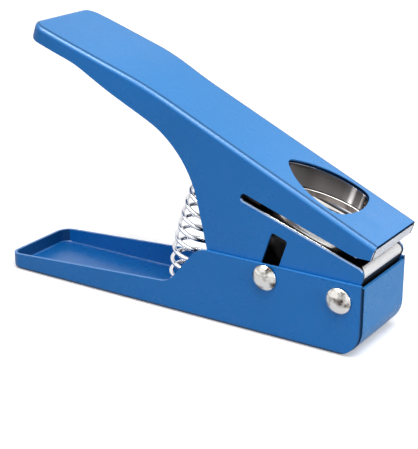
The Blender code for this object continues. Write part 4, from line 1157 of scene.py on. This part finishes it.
# %% Rivets and sleeves
RIVET_HEAD, RIVET_HEIGHT, RIVET_EDGE = 9.4 * MM, 2.5 * MM, 0.5 * MM
DOME_STEPS = 24
ROUNDING = 0.12 * MM


def rivet_profile():
    """Half profile of a rivet with two domed heads."""
    face = TRAY_HALF + GAP
    radius = RIVET_HEAD / 2
    dome = RIVET_HEIGHT - RIVET_EDGE
    ball = (radius ** 2 + dome ** 2) / (2 * dome)
    middle = face + RIVET_HEIGHT - ball
    turns = [math.asin(radius / ball) * k / DOME_STEPS for k in range(1, DOME_STEPS)]
    half = [(0.0, face + RIVET_HEIGHT)]
    half += [(ball * math.sin(turn), middle + ball * math.cos(turn)) for turn in turns]
    half += arc((radius - 2 * ROUNDING, face + RIVET_EDGE - ROUNDING), 2 * ROUNDING, math.pi / 4,
                0.0, BEND_FACET)
    half += arc((radius - ROUNDING, face + ROUNDING), ROUNDING, 0.0, -math.pi / 2, BEND_FACET)
    half += [(SHANK / 2, face)]
    return half + [(r, -h) for r, h in reversed(half)]


def sleeve_profile(diameter):
    """Closed profile of a tube between the tray's walls."""
    half, bore, outer = WALL_INNER - GAP, SHANK / 2 + GAP, diameter / 2
    edge = ROUNDING * 2
    return [(outer, -half + edge), (outer, half - edge), (outer - edge, half), (bore, half),
            (bore, -half), (outer - edge, -half)]


ALONG_Y = (0, 1, 0)
for name, node, centre in (("rivet_front", "pivot_rivet", PIVOT),
                           ("rivet_middle", "punch_pin_rivet", PIN)):
    piece = turned(name, rivet_profile(), nickel_rivet, 96)
    place(piece, "base", nickel_rivet, node, matrix=stand(ALONG_Y, centre))
# The sleeves are finished near-black: painted shade inside the tray.
for name, node, centre, size in (("sleeve_front", "pivot_sleeve", PIVOT, PIVOT_SLEEVE),
                                 ("sleeve_middle", "punch_pin_sleeve", PIN, PIN_SLEEVE)):
    piece = turned(name, sleeve_profile(size), turned_steel)
    place(piece, "base", shade_dark_steel, node, matrix=stand(ALONG_Y, centre))

# %% [markdown]
# Two dowels pin wedge, plate and guide block together, and a spacer on each keeps the card
# gap open. The screws have a socket head, which is a hexagon cut into a turned head.

# %% Dowels and spacers
for name, hand in (("left", -1.0), ("right", 1.0)):
    y = hand * DOWEL_Y
    radius, edge = DOWEL / 2, ROUNDING * 3
    profile = [(0.0, guide_low), (radius - edge, guide_low), (radius, guide_low + edge),
               (radius, DOWEL_TOP - edge), (radius - edge, DOWEL_TOP), (0.0, DOWEL_TOP)]
    dowel = turned("dowel_" + name, profile, turned_steel, 48)
    place(dowel, "handle", turned_steel, "die_dowel_" + name,
          matrix=HANDLE_FRAME @ Matrix.Translation((DOWEL_S, y, 0.0)))
    back, front = -BLOCK_BACK, -BLOCK_BACK + SPACER_LENGTH
    inner, outer = hand * (SPACER_SIDE - SPACER_WIDTH), hand * SPACER_SIDE
    plan = [(back, inner), (front, inner), (front, outer), (back, outer)]
    spacer = upright("spacer_" + name, plan, SLOT_FLOOR + GAP, DIE_FLOOR - GAP)
    cut(spacer, dowel_hole(y, SLOT_FLOOR - PAST, SLOT_ROOF + PAST))
    soften(spacer, MACHINED_EDGE)
    # The spacers are near-black: painted shade in the card gap.
    place(spacer, "handle", shade_dark_steel, "gap_spacer_" + name, matrix=HANDLE_FRAME)

# %% Punch screws
seat = carrier_low + SCREW_SINK - GAP
low = seat - SCREW_HEAD_HEIGHT
tip = punch_low + SCREW_GRIP
edge = ROUNDING * 2
radius, shank = SCREW_HEAD / 2, SCREW_SHANK / 2
profile = [(0.0, low), (radius - edge, low), (radius, low + edge), (radius, seat), (shank, seat),
           (shank, tip - edge), (shank - edge, tip), (0.0, tip)]
hexagon = circle((0.0, 0.0), SOCKET / math.sqrt(3), 6)
for name, s in zip(("front", "rear"), screw_places):
    screw = turned("screw_" + name, profile, black_oxide_and_shade, 48)
    cut(screw, upright("socket", hexagon, low - PAST, low + SOCKET_DEPTH))
    screw.data.set_sharp_from_angle(angle=EDGE_ANGLE)
    place(screw, "punch", black_oxide_and_shade, "punch_screw_" + name,
          matrix=HANDLE_FRAME @ Matrix.Translation((s, 0.0, 0.0)))

# %% [markdown]
# ## The return spring
#
# The spring's seats aren't parallel, because the tray is level and the handle's top slopes,
# so its axis bows. The tree draws that axis as a Bezier segment, walks up it turn by turn,
# with the end turns closer, and sets a point off to the side for each step. A small circle
# swept along those points is the wire. The pulls are the lengths of the Bezier's handles.

# %% Spring sizes and seats
SPRING_FOOT_BACK, SPRING_TOP_BACK = 79.7 * MM, 62.6 * MM
SPRING_OUTER, WIRE = 16.0 * MM, 1.6 * MM
COILS, END_COILS, END_PITCH = 13.5, 1.0, 2.5 * MM
STEPS_PER_COIL, WIRE_STEPS, BOW_STEPS = 40, 16, 96
WIRE_END_ANGLE = math.radians(50.0)
lean = OPEN_ANGLE + TOP_RISE
foot = Vector((FRONT - SPRING_FOOT_BACK, 0.0, SHEET))
under_top = top_height(-SPRING_TOP_BACK) - SHEET / math.cos(TOP_RISE)
top_seat = PIVOT - WAY_S * SPRING_TOP_BACK + WAY_N * under_top
top_way = Vector((math.sin(lean), 0.0, math.cos(lean)))
clear = WIRE / 2 + GAP
axis_start = foot + Vector((0.0, 0.0, clear))
axis_end = top_seat - top_way * clear
pull = (axis_end - axis_start).length / 3
spring_length = (top_seat - foot).length
print(f"spring {spring_length / MM:.1f} mm long, {math.degrees(lean):.1f} degrees over at the top")


# %% The spring tree
def spring_tree():
    """Geometry Nodes tree for a round-wire spring on a bowed axis in the XZ plane."""
    tree = bpy.data.node_groups.new("bowed_spring", "GeometryNodeTree")
    face = tree.interface
    kinds = {"Start": "Vector", "Start handle": "Vector", "End handle": "Vector", "End": "Vector",
             "Coils": "Float", "End coils": "Float", "End pitch": "Float", "Radius": "Float",
             "Wire radius": "Float", "Steps per coil": "Int", "Finish": "Material"}
    face.new_socket("Geometry", in_out="INPUT", socket_type="NodeSocketGeometry")
    inputs = {}
    for name, kind in kinds.items():
        socket = face.new_socket(name, in_out="INPUT", socket_type="NodeSocket" + kind)
        inputs[name] = socket.identifier
    face.new_socket("Geometry", in_out="OUTPUT", socket_type="NodeSocketGeometry")
    new, link = tree.nodes.new, tree.links.new
    given, result = new("NodeGroupInput"), new("NodeGroupOutput")

    def calc(operation, first, second=None):
        """One sum of two numbers or sockets."""
        node = new("ShaderNodeMath")
        node.operation = operation
        for socket, value in zip(node.inputs, (first, second)):
            if isinstance(value, (int, float)):
                socket.default_value = value
            elif value is not None:
                link(value, socket)
        return node.outputs[0]

    def vector(operation, first, second):
        """One sum of two vectors or sockets."""
        node = new("ShaderNodeVectorMath")
        node.operation = operation
        name = "Scale" if operation == "SCALE" else 1
        for socket, value in ((node.inputs[0], first), (node.inputs[name], second)):
            if isinstance(value, tuple):
                socket.default_value = value
            else:
                link(value, socket)
        return node.outputs["Vector"]

    bowed = new("GeometryNodeCurvePrimitiveBezierSegment")
    bowed.inputs["Resolution"].default_value = BOW_STEPS
    for name in ("Start", "Start handle", "End handle", "End"):
        link(given.outputs[name], bowed.inputs[name.title()])
    measure = new("GeometryNodeCurveLength")
    link(bowed.outputs["Curve"], measure.inputs["Curve"])
    length = measure.outputs["Length"]
    coils, ends = given.outputs["Coils"], given.outputs["End coils"]
    per_coil = given.outputs["Steps per coil"]
    turns = calc("ADD", coils, calc("MULTIPLY", ends, 2.0))
    steps = calc("ADD", calc("MULTIPLY", turns, per_coil), 1.0)
    line = new("GeometryNodeMeshLine")
    link(steps, line.inputs["Count"])
    path = new("GeometryNodeMeshToCurve")
    link(line.outputs["Mesh"], path.inputs["Mesh"])
    turn = calc("DIVIDE", new("GeometryNodeInputIndex").outputs["Index"], per_coil)
    low = calc("MINIMUM", turn, ends)
    high = calc("MAXIMUM", calc("SUBTRACT", calc("SUBTRACT", turn, ends), coils), 0.0)
    close = calc("ADD", low, high)
    end_rise = calc("MULTIPLY", ends, given.outputs["End pitch"])
    pitch = calc("DIVIDE", calc("SUBTRACT", length, calc("MULTIPLY", end_rise, 2.0)), coils)
    rise = calc("ADD", calc("MULTIPLY", close, given.outputs["End pitch"]),
                calc("MULTIPLY", calc("SUBTRACT", turn, close), pitch))
    sample = new("GeometryNodeSampleCurve")
    sample.mode = "FACTOR"
    link(bowed.outputs["Curve"], sample.inputs["Curves"])
    link(calc("DIVIDE", rise, length), sample.inputs["Factor"])
    ahead = vector("CROSS_PRODUCT", (0.0, 1.0, 0.0), sample.outputs["Tangent"])
    angle = calc("ADD", calc("MULTIPLY", turn, math.tau), math.pi)
    radius = given.outputs["Radius"]
    aside = new("ShaderNodeCombineXYZ")
    link(calc("MULTIPLY", calc("MULTIPLY", calc("SINE", angle), radius), -1.0), aside.inputs["Y"])
    forward = vector("SCALE", ahead, calc("MULTIPLY", calc("COSINE", angle), radius))
    offset = vector("ADD", forward, aside.outputs["Vector"])
    move = new("GeometryNodeSetPosition")
    link(path.outputs["Curve"], move.inputs["Geometry"])
    link(vector("ADD", sample.outputs["Position"], offset), move.inputs["Position"])
    wire = new("GeometryNodeCurvePrimitiveCircle")
    wire.inputs["Resolution"].default_value = WIRE_STEPS
    link(given.outputs["Wire radius"], wire.inputs["Radius"])
    sweep = new("GeometryNodeCurveToMesh")
    sweep.inputs["Fill Caps"].default_value = True
    link(move.outputs["Geometry"], sweep.inputs["Curve"])
    link(wire.outputs["Curve"], sweep.inputs["Profile Curve"])
    real = new("GeometryNodeRealizeInstances")
    dress = new("GeometryNodeSetMaterial")
    link(sweep.outputs["Mesh"], real.inputs["Geometry"])
    link(real.outputs["Geometry"], dress.inputs["Geometry"])
    link(given.outputs["Finish"], dress.inputs["Material"])
    link(dress.outputs["Geometry"], result.inputs["Geometry"])
    return tree, inputs


# %% [markdown]
# The handle moves and the tray doesn't, so the spring belongs to neither, and it is handed
# to no body.

# %% Wind the spring
tree, inputs = spring_tree()
spring = bpy.data.objects.new("chrome_spring", bpy.data.meshes.new("chrome_spring"))
bpy.context.scene.collection.objects.link(spring)
modifier = spring.modifiers.new("wind", "NODES")
modifier.node_group = tree
for name, value in (
        ("Start", axis_start), ("Start handle", axis_start + Vector((0.0, 0.0, pull))),
        ("End handle", axis_end - top_way * pull), ("End", axis_end), ("Coils", COILS),
        ("End coils", END_COILS), ("End pitch", END_PITCH), ("Radius", (SPRING_OUTER - WIRE) / 2),
        ("Wire radius", WIRE / 2), ("Steps per coil", STEPS_PER_COIL), ("Finish", chrome_wire)):
    modifier[inputs[name]] = value
bake(spring)
shape = bmesh.new()
shape.from_mesh(spring.data)
bmesh.ops.recalc_face_normals(shape, faces=shape.faces)
shape.to_mesh(spring.data)
shape.free()
spring.data.shade_smooth()
spring.data.set_sharp_from_angle(angle=WIRE_END_ANGLE)
place(spring, None, chrome_wire, "return_spring")
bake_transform(spring)

# %% Studs that hold the spring's ends
STUD, STUD_HEIGHT, STUD_CHAMFER = 11.2 * MM, 4.0 * MM, 1.0 * MM
radius = STUD / 2
stud_profile = [(0.0, GAP), (radius, GAP), (radius, STUD_HEIGHT - STUD_CHAMFER)]
stud_profile += arc((radius - STUD_CHAMFER, STUD_HEIGHT - STUD_CHAMFER), STUD_CHAMFER, 0.0,
                    math.pi / 2, BEND_FACET)
stud_profile += [(0.0, STUD_HEIGHT)]
for name, node, body, axis, seat in (
        ("stud_foot", "spring_stud_lower", "base", (0, 0, 1), foot),
        ("stud_top", "spring_stud_upper", "handle", tuple(-top_way), top_seat)):
    stud = turned(name, stud_profile, turned_steel)
    place(stud, body, turned_steel, node, matrix=stand(axis, seat))

# %% [markdown]
# ## Studio
#
# The tool stands on a plain white floor under a white sky. Both show white to the camera
# and lighter in gloss than the light that they give, so metal looks bright while the tool
# is lit at a plain level. Far from the tool the floor also glows to the camera, so it runs
# into the sky with no horizon, and near the tool it keeps the tool's shadow.

# %% Light path helper
def seen_rays(tree):
    """1 for rays that the camera, a mirror or a glass sends, 0 for those that only light."""
    kind = tree.nodes.new("ShaderNodeLightPath")
    value = kind.outputs["Is Camera Ray"]
    for name in ("Is Glossy Ray", "Is Transmission Ray"):
        larger = tree.nodes.new("ShaderNodeMath")
        larger.operation = "MAXIMUM"
        tree.links.new(value, larger.inputs[0])
        tree.links.new(kind.outputs[name], larger.inputs[1])
        value = larger.outputs[0]
    return value


# %% White floor
FLOOR_SIZE, FLOOR_DROP = 6.0, 0.02 * MM
FLOOR_LIT, FLOOR_MIRRORED, FLOOR_SEEN = grey(0.36), grey(0.66), grey(0.95)
GLOW_NEAR, GLOW_FAR = 0.30, 0.62
GLOW_START, GLOW_END = 0.25, 0.90
shape = bmesh.new()
bmesh.ops.create_grid(shape, x_segments=2, y_segments=2, size=FLOOR_SIZE)
floor = mesh_object("studio_floor", shape)
floor.location.z = -FLOOR_DROP
paper, tree, shader = new_material("white_paper", grey(0.8))
shader.inputs["Roughness"].default_value = 0.9
shader.inputs["Specular IOR Level"].default_value = 0.0
path_kind = tree.nodes.new("ShaderNodeLightPath")
mirrored = tint(tree, seen_rays(tree), FLOOR_LIT, FLOOR_MIRRORED)
seen = tint(tree, path_kind.outputs["Is Camera Ray"], mirrored, FLOOR_SEEN)
tree.links.new(seen, shader.inputs["Base Color"])
floor_spot = tree.nodes.new("ShaderNodeTexCoord")
away = tree.nodes.new("ShaderNodeVectorMath")
away.operation = "LENGTH"
tree.links.new(floor_spot.outputs["Object"], away.inputs[0])
glow = tree.nodes.new("ShaderNodeMath")
glow.operation = "MULTIPLY"
tree.links.new(path_kind.outputs["Is Camera Ray"], glow.inputs[0])
far_glow = spread(tree, away.outputs["Value"], GLOW_NEAR, GLOW_FAR, GLOW_START, GLOW_END)
tree.links.new(far_glow, glow.inputs[1])
tree.links.new(glow.outputs[0], shader.inputs["Emission Strength"])
shader.inputs["Emission Color"].default_value = (*grey(1.0), 1.0)
floor.data.materials.append(paper)
print("floor", 2 * FLOOR_SIZE, "m wide")

# %% Sky
SKY_LIT, SKY_SEEN = (0.50, 0.50, 0.51), grey(1.0)
world = bpy.data.worlds.new("studio_sky")
bpy.context.scene.world = world
world.use_nodes = True
sky = world.node_tree
sky_colour = tint(sky, seen_rays(sky), SKY_LIT, SKY_SEEN)
sky.links.new(sky_colour, sky.nodes["Background"].inputs["Color"])
print("sky ready")

# %% [markdown]
# Two soft lamps light the tool, one above and in front of it and one low beyond the jaw.
# Two more lamps are lit cards that show only in gloss: one draws the pale line along the
# bends, and a weak one fills the mirrored dark behind.

# %% Lamps
AIM_HEIGHT = 0.04


def soft_lamp(name, direction, distance, width, height, radiance, lights=True):
    """Flat soft lamp, or a lit card that only shows in gloss, that faces the object."""
    lamp = bpy.data.lights.new(name, "AREA")
    lamp.shape = "RECTANGLE"
    lamp.size, lamp.size_y = width, height
    lamp.energy = radiance * math.pi * width * height
    holder = bpy.data.objects.new(name, lamp)
    bpy.context.scene.collection.objects.link(holder)
    way = Vector(direction).normalized()
    holder.location = way * distance + Vector((0.0, 0.0, AIM_HEIGHT))
    holder.rotation_euler = way.to_track_quat("Z", "Y").to_euler()
    holder.visible_diffuse = lights
    print(f"{name}: {lamp.energy:.1f} W")


soft_lamp("key_lamp", (0.30, -0.24, 0.90), 0.80, 0.60, 0.60, 4.5)
soft_lamp("front_lamp", (0.90, -0.20, 0.20), 1.60, 0.50, 0.50, 9.0)
soft_lamp("bend_lamp", (-0.27, -0.44, 0.85), 0.80, 0.54, 0.36, 12.0, lights=False)
soft_lamp("back_lamp", (0.15, 0.82, 0.54), 1.20, 0.40, 0.40, 1.3, lights=False)

# %% [markdown]
# The camera stands where the photograph was taken from, 33 degrees round from the side and
# 20 degrees up, with the long lens that gives the same mild perspective.

# %% Camera
CAMERA_PLACE = Vector((158.1 * MM + FRONT, -354.12 * MM, 183.7 * MM))
CAMERA_LOOK = Vector((-0.5101, 0.7885, -0.3437)).normalized()
CAMERA_RIGHT = Vector((0.8396, 0.5432, 0.0)).normalized()
PICTURE_LONG_SIDE = 449
FOCAL_PIXELS = 1225.0
SENSOR = 36.0
camera = bpy.data.objects.new("camera", bpy.data.cameras.new("camera"))
bpy.context.scene.collection.objects.link(camera)
camera_up = CAMERA_RIGHT.cross(CAMERA_LOOK)
turn = Matrix((CAMERA_RIGHT, camera_up, -CAMERA_LOOK)).transposed().to_4x4()
camera.matrix_world = Matrix.Translation(CAMERA_PLACE) @ turn
camera.data.sensor_width = SENSOR
camera.data.lens = FOCAL_PIXELS * SENSOR / PICTURE_LONG_SIDE
camera.data.clip_start = 0.01
bpy.context.scene.camera = camera
bpy.context.scene.view_settings.view_transform = "Standard"
print(f"camera with a {camera.data.lens:.1f} mm lens")
